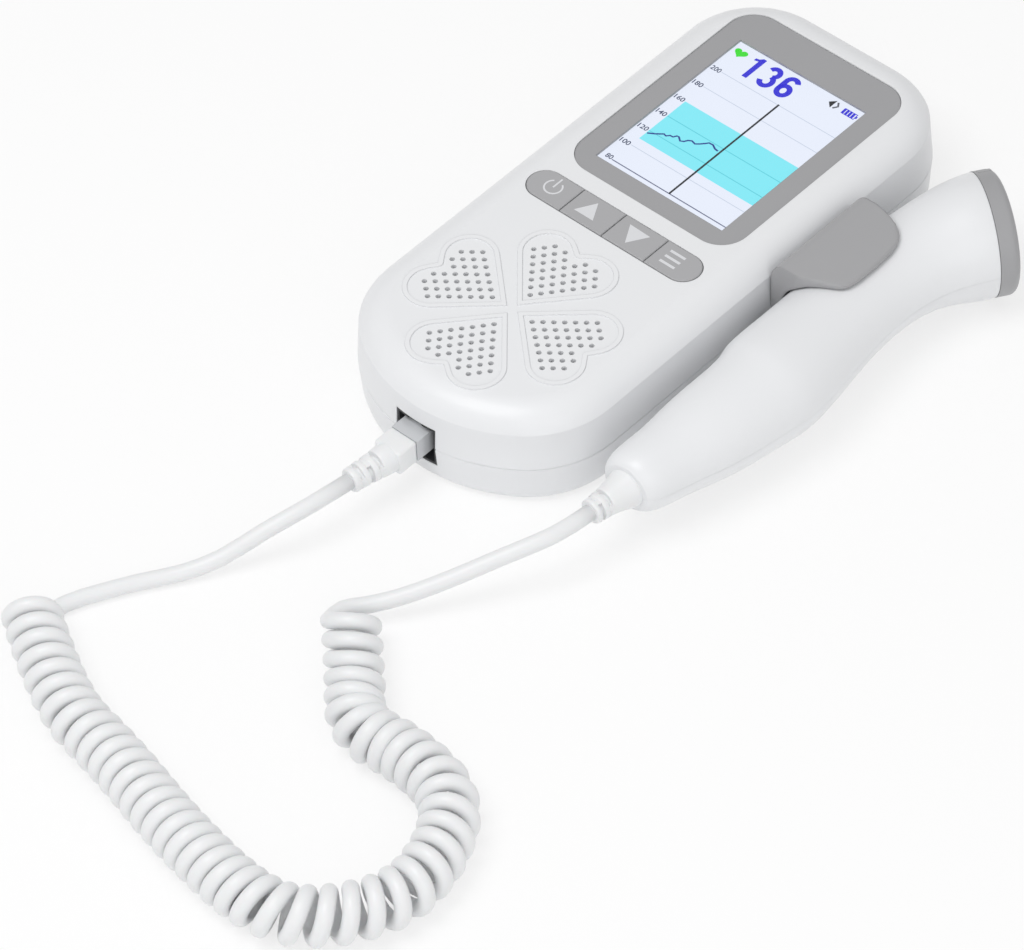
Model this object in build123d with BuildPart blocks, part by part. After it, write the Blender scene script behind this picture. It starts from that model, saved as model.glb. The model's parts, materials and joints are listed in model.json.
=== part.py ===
"""Handheld fetal doppler monitor: casing, display, keys, clover speaker grille, battery
compartment, probe in its side clip, and the coiled lead between probe and casing.

Frame: millimetres. The origin is the centre of the casing's flat back, which rests on Z = 0.
+Z points out of the display, +Y towards the display end, +X towards the probe.
"""
from build123d import *
from math import asin, atan2, cos, pi, radians, sin, sqrt, tan
import os

os.makedirs("parts", exist_ok=True)

# ------------------------------------------------------------------ general fits
GAP = 0.3              # running gap between pieces that must not touch
SEAT = 0.1             # gap of pieces that are glued, clamped or dropped in place

# ------------------------------------------------------------------ casing
CASE_WIDTH = 67.0
CASE_LENGTH = 148.8
CASE_HEIGHT = 26.0
PARTING_Z = 11.0       # height of the joint between the two shells
SHOULDER = 5.0         # height of the shoulder above the crease in the side wall
NEAR_RADIUS = 40.4     # bowed end with the socket
NEAR_CORNER = 24.0
FAR_CORNER = 20.6
WALL = 2.0
PANEL = 2.0            # front panel
BACK = 2.0             # back wall
FRONT_DRAFT = 4.0      # degrees
SHOULDER_DRAFT = 25.0
SHOULDER_RADIUS = 8.2
INNER_SHOULDER_DRAFT = 42.0
BACK_DRAFT = 4.0
BACK_EDGE = 3.6
PARTING_CHAMFER = 0.25
CREASE_Z = CASE_HEIGHT - SHOULDER
FAR_Y = CASE_LENGTH / 2
NEAR_Y = -FAR_Y
WALL_X = CASE_WIDTH / 2

# ------------------------------------------------------------------ display
SCREEN = (36.72, 48.96)               # picture of a 2.4 inch panel
SCREEN_ABOVE = 19.12                  # casing above the picture
SCREEN_Y = FAR_Y - SCREEN_ABOVE - SCREEN[1] / 2
BEZEL_EDGE = (5.79, 5.52, 10.12)      # bezel beside, below and above the picture
BEZEL = (SCREEN[0] + 2 * BEZEL_EDGE[0], SCREEN[1] + BEZEL_EDGE[1] + BEZEL_EDGE[2])
BEZEL_Y = SCREEN_Y + (BEZEL_EDGE[2] - BEZEL_EDGE[1]) / 2
BEZEL_CORNER = 7.0
BEZEL_THICK = 0.6
BEZEL_SUNK = 0.3
BEZEL_BORDER = 0.25            # bezel opening beyond the picture, each side
WINDOW_LAP = 1.8               # window under the bezel, each side
WINDOW_THICK = 0.8
LCD_EDGE = (2.99, 4.57, 6.77)         # panel beside, below and above the picture
LCD = (SCREEN[0] + 2 * LCD_EDGE[0], SCREEN[1] + LCD_EDGE[1] + LCD_EDGE[2])
LCD_Y = SCREEN_Y + (LCD_EDGE[2] - LCD_EDGE[1]) / 2
LCD_THICK = 2.3
LCD_FRAME_WALL = 1.6
LCD_LEDGE = 2.4

# ------------------------------------------------------------------ keys
KEY_STRIP_SIDE = 8.7           # casing beside the keys
KEY_STRIP = (CASE_WIDTH - 2 * KEY_STRIP_SIDE, 9.0)
KEY_STRIP_X = -0.4
KEY_STRIP_BELOW = 14.67                # from the picture to the middle of the keys
KEY_STRIP_Y = SCREEN_Y - SCREEN[1] / 2 - KEY_STRIP_BELOW
KEY_PROUD = 0.25
KEY_GAP = 0.2
KEY_TRAVEL = 0.5
KEY_FLANGE = 0.8
KEY_NAMES = ("power", "up", "down", "menu")
NUB_RADIUS = 1.3
PLUNGER_RADIUS = 1.7

# ------------------------------------------------------------------ speaker and its grille
GRILLE_Y = NEAR_Y + 32.3
PETALS = 4
HOLE_RADIUS = 0.6
HOLE_START = 5.85              # first hole of a petal, from the grille's centre
HOLE_PITCH = 2.37
HOLE_LEAN = 39.05              # degrees between a row and the petal's axis
HOLE_ROWS = (7, 7, 7, 6, 4, 4, 3)
HEART_TIP = 1.6
HEART_SIDE = 42.0              # degrees between a straight side and the petal's axis
HEART_REACH = 24.8
HEART_LOBE = 6.6
HEART_NOTCH = 22.0
HEART_RIB = 1.1
HEART_RIB_HIGH = 0.3
SPEAKER_RADIUS = 22.0
SPEAKER_DEPTH = 2.7
SPEAKER_RIM = 2.2
SPEAKER_METAL = 0.6
SPEAKER_WINDOWS = 6
CONE_THICK = 0.3
CONE_DEPTH = 1.6
DUST_CAP = (7.0, 1.3)          # radius and height of the dome
MAGNET_RADIUS = 11.0
MAGNET_THICK = 3.0
CLOTH_THICK = 0.3
RETAINER = 1.2                 # rib round the speaker

# ------------------------------------------------------------------ boards
BOARD_EDGE = (5.0, 12.4)              # casing beside the board and above its far end
BOARD = (CASE_WIDTH - 2 * BOARD_EDGE[0], 78.0)
BOARD_Y = FAR_Y - BOARD_EDGE[1] - BOARD[1] / 2
BOARD_THICK = 1.6
BOARD_DEEP = 6.8                      # board's top below the front panel's face
BOARD_TOP = CASE_HEIGHT - BOARD_DEEP
BOARD_CORNER = 4.0
BOARD_SCREW_EDGE = (2.5, 17.5, 6.0)   # from the board's side, near end and far end
BOARD_SCREWS = (
    (BOARD[0] / 2 - BOARD_SCREW_EDGE[0], BOARD_Y - BOARD[1] / 2 + BOARD_SCREW_EDGE[1]),
    (BOARD[0] / 2 - BOARD_SCREW_EDGE[0], BOARD_Y + BOARD[1] / 2 - BOARD_SCREW_EDGE[2]),
)
SWITCH_SIZE = 6.0
SWITCH_HIGH = 1.8
SWITCH_WELL = 0.4
# chips: X, distance beyond the board's middle, width and depth
CHIPS = ((-12.0, -1.0, 10.0, 10.0), (8.0, -3.0, 7.0, 7.0), (-10.0, 19.0, 6.0, 8.0), (9.0, 17.0, 12.0, 5.0))
CHIP_HIGH = 1.2
CAPACITOR = (3.6, 11.0)        # radius and height
CAPACITOR_AT = (17.0, BOARD_Y + 29.0)

# ------------------------------------------------------------------ battery compartment
CELL_RADIUS = 7.1
CELL_LENGTH = 49.2
CELL_PLAY = 0.4                # room under the cells
CELL_NUB = (2.7, 1.3)
TUB_END = 3.9                  # room at each end of the cells, for the contacts
TUB_BELOW = 26.4               # from the near end of the casing
TUB_WALL = 1.2
TUB_ROOF = 0.6
DOOR_LAP = 2.2                 # door beyond the tub, each side
DOOR_THICK = 2.0
TUB = (4 * CELL_RADIUS + 6 * GAP, CELL_LENGTH + 2 * TUB_END)    # inside
TUB_Y = NEAR_Y + TUB_BELOW + TUB[1] / 2
TUB_ROOF_Z = DOOR_THICK + CELL_PLAY + 2 * CELL_RADIUS + GAP
DOOR_CORNER = 2.5
DOOR_FRAME = 1.6
DOOR_FRAME_TOP = 3.8
DOOR_TAB_X = 10.0
DOOR_TAB = (7.0, 1.3, 0.8)
DOOR_POCKET = 1.2              # room round a tab
DOOR_GRIP = (12.0, 0.5)        # finger scallop: radius and depth
CONTACT = (9.0, 9.0, 0.4)
SPRING_REACH = 3.4

# ------------------------------------------------------------------ fasteners
CASE_SCREWS = ((WALL_X - 9.0, NEAR_Y + 24.4), (WALL_X - 13.5, FAR_Y - 7.0))
SCREW_RADIUS = 1.3
SCREW_HEAD = (2.3, 1.6)
BOSS_RADIUS = 3.2
SCREW_SEAT_Z = 6.0
SCREW_TIP_Z = CASE_HEIGHT - 7.0
SMALL_BOSS_RADIUS = 2.4
SMALL_SCREW_RADIUS = 0.9
SMALL_SCREW_HEAD = (1.7, 1.1)
SMALL_SCREW_BITE = 3.6
PILOT_GAP = 0.05

# ------------------------------------------------------------------ socket and plug
JACK_Z = 11.2
JACK_OPENING = (11.4, 11.0)
JACK_WALL = 1.0
JACK_DEPTH = 14.0
JACK_MOUTH = 1.0               # depth of the wide mouth before the plug's own cavity
JACK_COLLAR = 0.6              # collar lining the opening in the casing
JACK_SUNK = 0.45               # collar behind the casing's surface
JACK_BOARD = (20.0, 16.0, 1.6)
JACK_LATCH = (3.8, 16.6)       # width and top of the slot for the plug's latch
JACK_STRIP = (0.5, 0.4)        # contact strip: width and thickness
PLUG = (7.4, 5.8)              # 4-way modular plug body
PLUG_GAP = 0.25
PLUG_INSERTED = 10.0
PLUG_SHOWN = 3.0               # clear body between the wall and the boot
PLUG_Z = 11.9
PLUG_LATCH = (3.2, 0.9, 8.0)
PLUG_CONTACTS = 4
PLUG_CONTACT_PITCH = 1.02
PLUG_BLADE = (0.3, 1.8, 2.0)   # width, length along the plug, height
PLUG_SLOT = 0.5
BOOT_BLOCK = (7.5, 6.3, 5.7)
RELIEF_LENGTH = 11.9
RELIEF_RADII = (3.05, 2.7)
RELIEF_TURN = 8.0              # degrees towards -X
RING_PITCH = 2.4
RING_DEPTH = 0.5
RING_WIDE = 1.0

# ------------------------------------------------------------------ probe clip
CLIP_Y = (5.2, 33.8)
CLIP_PLATE = 2.3               # thickness of the plate against the casing
CLIP_TONGUE_Z = 25.1           # underside of the tongue over the probe
CLIP_TONGUE = 1.5
CLIP_TONGUE_X = WALL_X + 18.0
CLIP_ROOT_Z = 21.6             # where the root's curve leaves the casing's wall
CLIP_ROOT_X = WALL_X + 4.3     # where the root's curve reaches the tongue
CLIP_CORNERS = (10.5, 8.0)     # far and near corner of the tongue
CLIP_FOOT_TOP = 4.4
CLIP_FOOT = 1.7
CLIP_FOOT_X = WALL_X + 11.5
CLIP_FOOT_CORNER = 4.0
CLIP_SCREWS_Y = (12.0, 27.0)
CLIP_SCREW_Z = CREASE_Z - PARTING_Z - 2.0    # above the parting
CLIP_SCREW_BITE = 3.4

# ------------------------------------------------------------------ probe
PROBE_Z = 14.6
PROBE_WALL = 1.8
# stations of the moulded body: Y, centre beyond the casing's side, half width, half height and
# heading in degrees
STATIONS = tuple(
    (y, WALL_X + beyond, wide, high, heading)
    for y, beyond, wide, high, heading in (
        (-57.9, 13.4, 5.9, 5.7, 0.0),
        (-56.7, 13.4, 7.1, 6.9, 0.0),
        (-53.5, 13.7, 8.1, 7.8, 3.0),
        (-46.0, 14.7, 9.1, 8.3, 6.0),
        (-33.0, 16.2, 11.2, 9.8, 5.0),
        (-16.0, 17.0, 13.0, 11.4, 0.0),
        (-1.0, 15.9, 12.5, 10.4, -5.0),
        (14.0, 15.0, 11.7, 9.7, 0.0),
        (26.5, 15.4, 11.8, 9.8, 10.0),
        (39.5, 17.9, 12.9, 12.0, 22.0),
        (50.9, 22.7, 14.2, 14.2, 34.0),
    )
)
CAP_RADIUS = 14.3
CAP_THICK = 4.9
CAP_EDGE = 1.8
CAP_WALL = 2.8
SPIGOT = (11.4, 2.6)           # radius and length of the cap's spigot inside the body
CAP_BORE = 9.8
FACE_THICK = 2.4
FACE_DOME = 0.5
PIEZO_RADIUS = 8.0
PIEZO_THICK = 0.8
PIEZO_SPLIT = 1.0
BACKING_THICK = 5.0
PROBE_SCREWS = ((WALL_X + 15.6, -38.0), (WALL_X + 15.4, 6.0))
PROBE_SCREW_SEAT = 9.0         # height of the shoulder under a screw's head
PROBE_SCREW_TIP = 19.0
PROBE_BOARD = (12.0, 30.0, 1.2)
PROBE_BOARD_Y = -16.0
PROBE_BOARD_TOP = 14.0
PROBE_RIBS = (10.0, 1.2)       # distance of the board's ribs from its middle, and their thickness
BOOT_NECK = 3.4                # radius where the boot passes the shells' tail wall
BOOT_FLANGE = (5.0, 1.4)       # radius and thickness of the flange inside
BOOT_COLLAR = 0.6              # straight part of the boot against the tail
PROBE_BOOT_LENGTH = 10.4
PROBE_BOOT_RADII = (4.5, 3.15)
PROBE_BOOT_TURN = 6.0          # degrees towards -X
MARK = (3.0, 2.0, 0.25)
MARK_ANGLE = 33.0              # round the cap from its top, towards the casing

# ------------------------------------------------------------------ lead
CORD = 3.8                     # diameter
COIL = 13.2                    # outer diameter of the coiled stretch
COIL_Z = COIL / 2 + 0.1
CORD_Z = CORD / 2 + 0.1
COIL_ROUTE = (
    (-34.5, -159.2), (-13.5, -171.0), (9.5, -178.3), (36.0, -185.5), (57.5, -189.6),
    (74.5, -183.8), (83.3, -168.5), (83.0, -152.0), (73.0, -139.4), (57.0, -134.3),
    (44.5, -139.0), (34.0, -129.5), (18.9, -115.4),
)
# from each boot's end: a straight exit, then these points to the side of the coil's end
UNIT_EXIT = 10.0
UNIT_LEAD = (
    (-7.6, -113.8, 8.8), (-12.4, -122.6, 3.6), (-17.3, -130.6, CORD_Z), (-22.6, -138.0, CORD_Z),
    (-27.0, -146.0, CORD_Z), (-31.4, -153.2, CORD_Z),
)
PROBE_EXIT = 5.8
PROBE_LEAD = (
    (42.95, -81.2, 14.0), (38.0, -88.8, 11.7), (32.7, -97.3, 8.8), (27.7, -104.6, 6.6),
    (23.5, -109.2, 5.2),
)

# ------------------------------------------------------------------ levels that follow from these
PANEL_Z = CASE_HEIGHT - PANEL                          # underside of the front panel
BEZEL_FLOOR_Z = CASE_HEIGHT - BEZEL_SUNK - BEZEL_THICK
WINDOW = (SCREEN[0] + 2 * WINDOW_LAP, SCREEN[1] + 2 * WINDOW_LAP)
LCD_TOP_Z = BEZEL_FLOOR_Z - WINDOW_THICK - SEAT
BOARD_BOTTOM_Z = BOARD_TOP - BOARD_THICK
KEY_TOP_Z = CASE_HEIGHT + KEY_PROUD
FLANGE_TOP_Z = PANEL_Z - GAP
FLANGE_Z = FLANGE_TOP_Z - KEY_FLANGE
PLUNGER_TOP_Z = BOARD_TOP + SWITCH_HIGH + KEY_TRAVEL + GAP
KEY_PITCH = KEY_STRIP[0] / len(KEY_NAMES)
KEY_X = [KEY_STRIP_X + KEY_PITCH * (i - (len(KEY_NAMES) - 1) / 2) for i in range(len(KEY_NAMES))]
DOOR = (TUB[0] + 2 * DOOR_LAP, TUB[1] + 2 * DOOR_LAP)
JACK_TOP = JACK_Z + JACK_OPENING[1] / 2 + JACK_WALL
JACK_BOARD_TOP = JACK_Z - JACK_OPENING[1] / 2 - JACK_WALL


def behind_near_wall(z, half_width):
    """Y just inside the bowed near wall at height z, for something of this half width."""
    if z > PARTING_Z:
        inset = WALL + (z - PARTING_Z) * tan(radians(FRONT_DRAFT))
    else:
        inset = WALL + (PARTING_Z - z) * tan(radians(2 * BACK_DRAFT))
    return NEAR_Y + NEAR_RADIUS - sqrt((NEAR_RADIUS - inset) ** 2 - half_width**2) + SEAT


JACK_HALF = JACK_OPENING[0] / 2 + JACK_WALL
JACK_FRONT_Y = max(behind_near_wall(JACK_TOP, JACK_HALF), behind_near_wall(JACK_BOARD_TOP, JACK_HALF))
JACK_BOARD_Z = JACK_BOARD_TOP - JACK_BOARD[2]
JACK_BOARD_Y = behind_near_wall(JACK_BOARD_Z, JACK_BOARD[0] / 2) + JACK_BOARD[1] / 2


# ================================================================== shared shapes
def save(piece, name):
    """Label a finished sub-part and write it as its own STEP file."""
    piece.label = name
    export_step(piece, f"parts/{name}.step")


def case_plan(inset=0.0):
    """Plan of the casing, drawn `inset` inside its outer edge."""
    half = WALL_X - inset
    near_y = NEAR_Y + inset
    far_y = FAR_Y - inset
    bow = NEAR_RADIUS - inset
    corner = NEAR_CORNER - inset
    far = FAR_CORNER - inset
    corner_x = half - corner
    corner_y = near_y + bow - sqrt((bow - corner) ** 2 - corner_x**2)
    lean = atan2(corner_x, near_y + bow - corner_y)
    turn = (lean - pi / 2) / 2
    meet_x, meet_y = bow * sin(lean), near_y + bow - bow * cos(lean)
    mid_x, mid_y = corner_x + corner * cos(turn), corner_y + corner * sin(turn)
    bulge = far * (1 - cos(pi / 4))
    with BuildSketch() as plan:
        with BuildLine():
            ThreePointArc((-meet_x, meet_y), (0, near_y), (meet_x, meet_y))
            for side in (-1, 1):
                ThreePointArc((side * meet_x, meet_y), (side * mid_x, mid_y), (side * half, corner_y))
                Line((side * half, corner_y), (side * half, far_y - far))
                ThreePointArc(
                    (side * half, far_y - far),
                    (side * (half - bulge), far_y - bulge),
                    (side * (half - far), far_y),
                )
            Line((far - half, far_y), (half - far, far_y))
        make_face()
    return plan.sketch


def heart():
    """One petal of the clover: its point near the origin, its axis along +X."""
    side = radians(HEART_SIDE)
    centre_x = HEART_REACH - HEART_LOBE
    centre_y = ((centre_x - HEART_TIP) * sin(side) - HEART_LOBE) / cos(side)
    start = side + pi / 2
    span = sqrt((HEART_NOTCH - centre_x) ** 2 + centre_y**2)
    end = atan2(centre_y, centre_x - HEART_NOTCH) - asin(HEART_LOBE / span) - pi / 2
    with BuildSketch() as petal:
        with BuildLine():
            for flip in (-1, 1):
                lobe = [
                    (centre_x + HEART_LOBE * cos(a), flip * (centre_y + HEART_LOBE * sin(a)))
                    for a in (start, (start + end) / 2, end)
                ]
                Line((HEART_TIP, 0), lobe[0])
                ThreePointArc(*lobe)
                Line(lobe[2], (HEART_NOTCH, 0))
        make_face()
    return petal.sketch


def petal_holes():
    """Centres of one petal's holes, a rhombic lattice trimmed to the heart."""
    along = HOLE_PITCH * cos(radians(HOLE_LEAN))
    aside = HOLE_PITCH * sin(radians(HOLE_LEAN))
    return [
        (HOLE_START + (i + j) * along, (i - j) * aside)
        for j, count in enumerate(HOLE_ROWS)
        for i in range(count)
    ]


def corners(places):
    """The given places and their mirror images across the casing's middle."""
    return [(side * x, y) for x, y in places for side in (-1, 1)]


def relief(start, turn, length, radii):
    """Tapered strain relief with ring grooves, running from `start` along -Y turned towards -X."""
    along = (-sin(radians(turn)), -cos(radians(turn)), 0)
    profile = [(0, 0), (0, radii[0])]
    for i in range(int((length - RING_WIDE) / RING_PITCH)):
        ring = (i + 0.6) * RING_PITCH
        radius = radii[0] + (radii[1] - radii[0]) * ring / length
        profile += [(ring, radius), (ring, radius - RING_DEPTH)]
        profile += [(ring + RING_WIDE, radius - RING_DEPTH), (ring + RING_WIDE, radius)]
    profile += [(length, radii[1]), (length, 0)]
    with BuildPart() as boot:
        with BuildSketch(Plane(origin=start, x_dir=along, z_dir=(0, 0, 1))):
            with BuildLine():
                Polyline(*profile, close=True)
            make_face()
        revolve(axis=Axis(start, along))
    return boot.part


def relief_end(start, turn, length):
    """The point on a relief's axis at its length from the start."""
    return (start[0] - length * sin(radians(turn)), start[1] - length * cos(radians(turn)), start[2])


def probe_body(inset=0.0, first=0):
    """The probe's moulded form, drawn `inset` inside its surface, from one station on."""
    with BuildPart() as body:
        for y, x, wide, high, heading in STATIONS[first:]:
            turn = radians(heading)
            section = Plane((x, y, PROBE_Z), x_dir=(cos(turn), -sin(turn), 0), z_dir=(sin(turn), cos(turn), 0))
            with BuildSketch(section):
                Ellipse(wide - inset, high - inset)
        loft()
    return body.part


def tube(points, diameter, name):
    """Round cord through `points`, each bend as wide as the two runs beside it allow."""
    bends = []
    for before, at, after in zip(points, points[1:], points[2:]):
        run_in = Vector(*at) - Vector(*before)
        run_out = Vector(*after) - Vector(*at)
        half_turn = radians(run_in.get_angle(run_out)) / 2
        bends.append(0.45 * min(run_in.length, run_out.length) / tan(half_turn))
    with BuildPart() as cord:
        with BuildLine() as route:
            FilletPolyline(*points, radius=bends)
        with BuildSketch(Plane(origin=points[0], z_dir=Vector(*points[1]) - Vector(*points[0]))):
            Circle(diameter / 2)
        sweep(path=route.wires()[0])
    length = sum(edge.length for edge in route.edges())
    expected = pi * diameter**2 / 4 * length
    print(f"{name}: length {length:.1f}, volume {cord.part.volume / expected:.4f} of section x length,")
    print("   bend radii", " ".join(f"{bend:.1f}" for bend in bends))
    save(cord.part, name)


# ================================================================== casing
with BuildPart() as front_shell:
    with BuildSketch(Plane.XY.offset(PARTING_Z)):
        add(case_plan())
    extrude(amount=CREASE_Z - PARTING_Z, taper=FRONT_DRAFT)
    extrude(faces().sort_by(Axis.Z)[-1], amount=CASE_HEIGHT - CREASE_Z, taper=SHOULDER_DRAFT)
    fillet(faces().sort_by(Axis.Z)[-1].edges(), SHOULDER_RADIUS)
    chamfer(faces().sort_by(Axis.Z)[0].edges(), PARTING_CHAMFER)
    # hollow
    with BuildSketch(Plane.XY.offset(PARTING_Z)):
        add(case_plan(WALL))
    extrude(amount=CREASE_Z - PARTING_Z, taper=FRONT_DRAFT, mode=Mode.SUBTRACT)
    with BuildSketch(Plane.XY.offset(CREASE_Z)):
        add(case_plan(WALL + (CREASE_Z - PARTING_Z) * tan(radians(FRONT_DRAFT))))
    extrude(amount=PANEL_Z - CREASE_Z, taper=INNER_SHOULDER_DRAFT, mode=Mode.SUBTRACT)
    # bosses for the case screws and the board, and the rib that holds the speaker
    with BuildSketch(Plane.XY.offset(PARTING_Z + SEAT)):
        with Locations(*corners(CASE_SCREWS)):
            Circle(BOSS_RADIUS)
    extrude(until=Until.NEXT)
    with BuildSketch(Plane.XY.offset(BOARD_TOP + SEAT)):
        with Locations(*corners(BOARD_SCREWS)):
            Circle(SMALL_BOSS_RADIUS)
    extrude(until=Until.NEXT)
    with BuildSketch(Plane.XY.offset(PANEL_Z - CLOTH_THICK - SPEAKER_DEPTH)):
        with Locations((0, GRILLE_Y)):
            Circle(SPEAKER_RADIUS + SEAT + RETAINER)
            Circle(SPEAKER_RADIUS + SEAT, mode=Mode.SUBTRACT)
    extrude(amount=SPEAKER_DEPTH + CLOTH_THICK)
    with BuildSketch(Plane.XY.offset(PARTING_Z)):
        with Locations(*corners(CASE_SCREWS)):
            Circle(SCREW_RADIUS + PILOT_GAP)
    extrude(amount=SCREW_TIP_Z + GAP - PARTING_Z, mode=Mode.SUBTRACT)
    with BuildSketch(Plane.XY.offset(BOARD_TOP)):
        with Locations(*corners(BOARD_SCREWS)):
            Circle(SMALL_SCREW_RADIUS + PILOT_GAP)
    extrude(amount=SMALL_SCREW_BITE + GAP, mode=Mode.SUBTRACT)
    # display recess and window, key slot, socket
    with BuildSketch(Plane.XY.offset(CASE_HEIGHT)):
        with Locations((0, BEZEL_Y)):
            RectangleRounded(BEZEL[0] + 2 * SEAT, BEZEL[1] + 2 * SEAT, BEZEL_CORNER + SEAT)
    extrude(amount=BEZEL_FLOOR_Z - CASE_HEIGHT, mode=Mode.SUBTRACT)
    with BuildSketch(Plane.XY.offset(CASE_HEIGHT)):
        with Locations((0, SCREEN_Y)):
            Rectangle(WINDOW[0] + 2 * SEAT, WINDOW[1] + 2 * SEAT)
    extrude(amount=-PANEL, mode=Mode.SUBTRACT)
    with BuildSketch(Plane.XY.offset(CASE_HEIGHT)):
        with Locations((KEY_STRIP_X, KEY_STRIP_Y)):
            SlotOverall(*KEY_STRIP)
    extrude(amount=-PANEL, mode=Mode.SUBTRACT)
    with BuildSketch(Plane.XZ.offset(-NEAR_Y)):
        with Locations((0, JACK_Z)):
            Rectangle(*JACK_OPENING)
    extrude(amount=-2 * WALL, mode=Mode.SUBTRACT)
    # clover: raised heart outlines and the pierced lattice
    with BuildSketch(Plane.XY.offset(CASE_HEIGHT - HEART_RIB_HIGH)):
        with Locations((0, GRILLE_Y)):
            with PolarLocations(0, PETALS):
                add(heart())
        offset(amount=-HEART_RIB, mode=Mode.SUBTRACT)
    extrude(amount=2 * HEART_RIB_HIGH)
    with BuildSketch(Plane.XY.offset(CASE_HEIGHT)):
        with Locations((0, GRILLE_Y)):
            with PolarLocations(0, PETALS):
                with Locations(*petal_holes()):
                    Circle(HOLE_RADIUS)
    extrude(amount=-PANEL, mode=Mode.SUBTRACT)
    # screw holes for the probe clip
    with BuildSketch(Plane.YZ.offset(WALL_X)):
        with Locations(*[(y, PARTING_Z + CLIP_SCREW_Z) for y in CLIP_SCREWS_Y]):
            Circle(SMALL_SCREW_RADIUS + GAP)
    extrude(amount=-2 * WALL, mode=Mode.SUBTRACT)
save(front_shell.part, "front_shell")

with BuildPart() as back_shell:
    with BuildSketch(Plane.XY.offset(PARTING_Z)):
        add(case_plan())
    extrude(amount=PARTING_Z, dir=(0, 0, -1), taper=BACK_DRAFT)
    fillet(faces().sort_by(Axis.Z)[0].edges(), BACK_EDGE)
    chamfer(faces().sort_by(Axis.Z)[-1].edges(), PARTING_CHAMFER)
    with BuildSketch(Plane.XY.offset(PARTING_Z)):
        add(case_plan(WALL))
    extrude(amount=PARTING_Z - BACK, dir=(0, 0, -1), taper=2 * BACK_DRAFT, mode=Mode.SUBTRACT)
    # battery compartment: frame of the door, tub and its roof
    with BuildSketch(Plane.XY.offset(BACK / 2)):
        with Locations((0, TUB_Y)):
            Rectangle(DOOR[0] + 2 * (GAP + DOOR_FRAME), DOOR[1] + 2 * (GAP + DOOR_FRAME))
    extrude(amount=DOOR_FRAME_TOP - BACK / 2)
    with BuildSketch(Plane.XY.offset(BACK / 2)):
        with Locations((0, TUB_Y)):
            Rectangle(TUB[0] + 2 * TUB_WALL, TUB[1] + 2 * TUB_WALL)
    extrude(amount=TUB_ROOF_Z + TUB_ROOF - BACK / 2)
    with BuildSketch():
        with Locations((0, TUB_Y)):
            Rectangle(*TUB)
    extrude(amount=TUB_ROOF_Z, mode=Mode.SUBTRACT)
    with BuildSketch():
        with Locations((0, TUB_Y)):
            RectangleRounded(DOOR[0] + 2 * GAP, DOOR[1] + 2 * GAP, DOOR_CORNER + GAP)
    extrude(amount=DOOR_THICK + SEAT, mode=Mode.SUBTRACT)
    # pockets for the door's two tabs, with room above them for the swing
    with BuildSketch(Plane.XY.offset(DOOR_THICK - DOOR_TAB[2] - GAP)):
        with Locations(*corners([(DOOR_TAB_X, TUB_Y + DOOR[1] / 2)])):
            Rectangle(DOOR_TAB[0] + 2 * GAP, 2 * (DOOR_TAB[1] + DOOR_POCKET))
    extrude(amount=DOOR_TAB[2] + GAP + DOOR_POCKET, mode=Mode.SUBTRACT)
    # screw towers
    with BuildSketch(Plane.XY.offset(BACK / 2)):
        with Locations(*corners(CASE_SCREWS)):
            Circle(BOSS_RADIUS)
    extrude(amount=PARTING_Z - SEAT - BACK / 2)
    with BuildSketch():
        with Locations(*corners(CASE_SCREWS)):
            Circle(SCREW_RADIUS + GAP)
    extrude(amount=PARTING_Z, mode=Mode.SUBTRACT)
    with BuildSketch():
        with Locations(*corners(CASE_SCREWS)):
            Circle(SCREW_HEAD[0] + GAP)
    extrude(amount=SCREW_SEAT_Z, mode=Mode.SUBTRACT)
    # posts under the socket's board, and the socket's opening
    with BuildSketch(Plane.XY.offset(BACK / 2)):
        with Locations((0, JACK_BOARD_Y)):
            with GridLocations(JACK_BOARD[0] - 2 * SMALL_BOSS_RADIUS, JACK_BOARD[1] / 2, 2, 2):
                Circle(SMALL_BOSS_RADIUS)
    extrude(amount=JACK_BOARD_Z - BACK / 2)
    with BuildSketch(Plane.XZ.offset(-NEAR_Y)):
        with Locations((0, JACK_Z)):
            Rectangle(*JACK_OPENING)
    extrude(amount=-2 * WALL, mode=Mode.SUBTRACT)
save(back_shell.part, "back_shell")

with BuildPart() as battery_cover:
    with BuildSketch():
        with Locations((0, TUB_Y)):
            RectangleRounded(*DOOR, DOOR_CORNER)
    extrude(amount=DOOR_THICK)
    with BuildSketch(Plane.XY.offset(DOOR_THICK - DOOR_TAB[2])):
        with Locations(*corners([(DOOR_TAB_X, TUB_Y + DOOR[1] / 2)])):
            Rectangle(DOOR_TAB[0], 2 * DOOR_TAB[1])
    extrude(amount=DOOR_TAB[2])
    # stiffening ribs inside, between the two cells
    with BuildSketch(Plane.XY.offset(DOOR_THICK)):
        with Locations((0, TUB_Y)):
            Rectangle(RETAINER, TUB[1] - 4 * TUB_WALL)
    extrude(amount=BACK)
    # finger scallop by the free end
    with BuildSketch():
        with Locations((0, TUB_Y - DOOR[1] / 2 + DOOR_GRIP[0] / 2)):
            SlotOverall(DOOR_GRIP[0], DOOR_GRIP[0] / 3)
    extrude(amount=DOOR_GRIP[1], mode=Mode.SUBTRACT)
save(battery_cover.part, "battery_cover")

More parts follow.
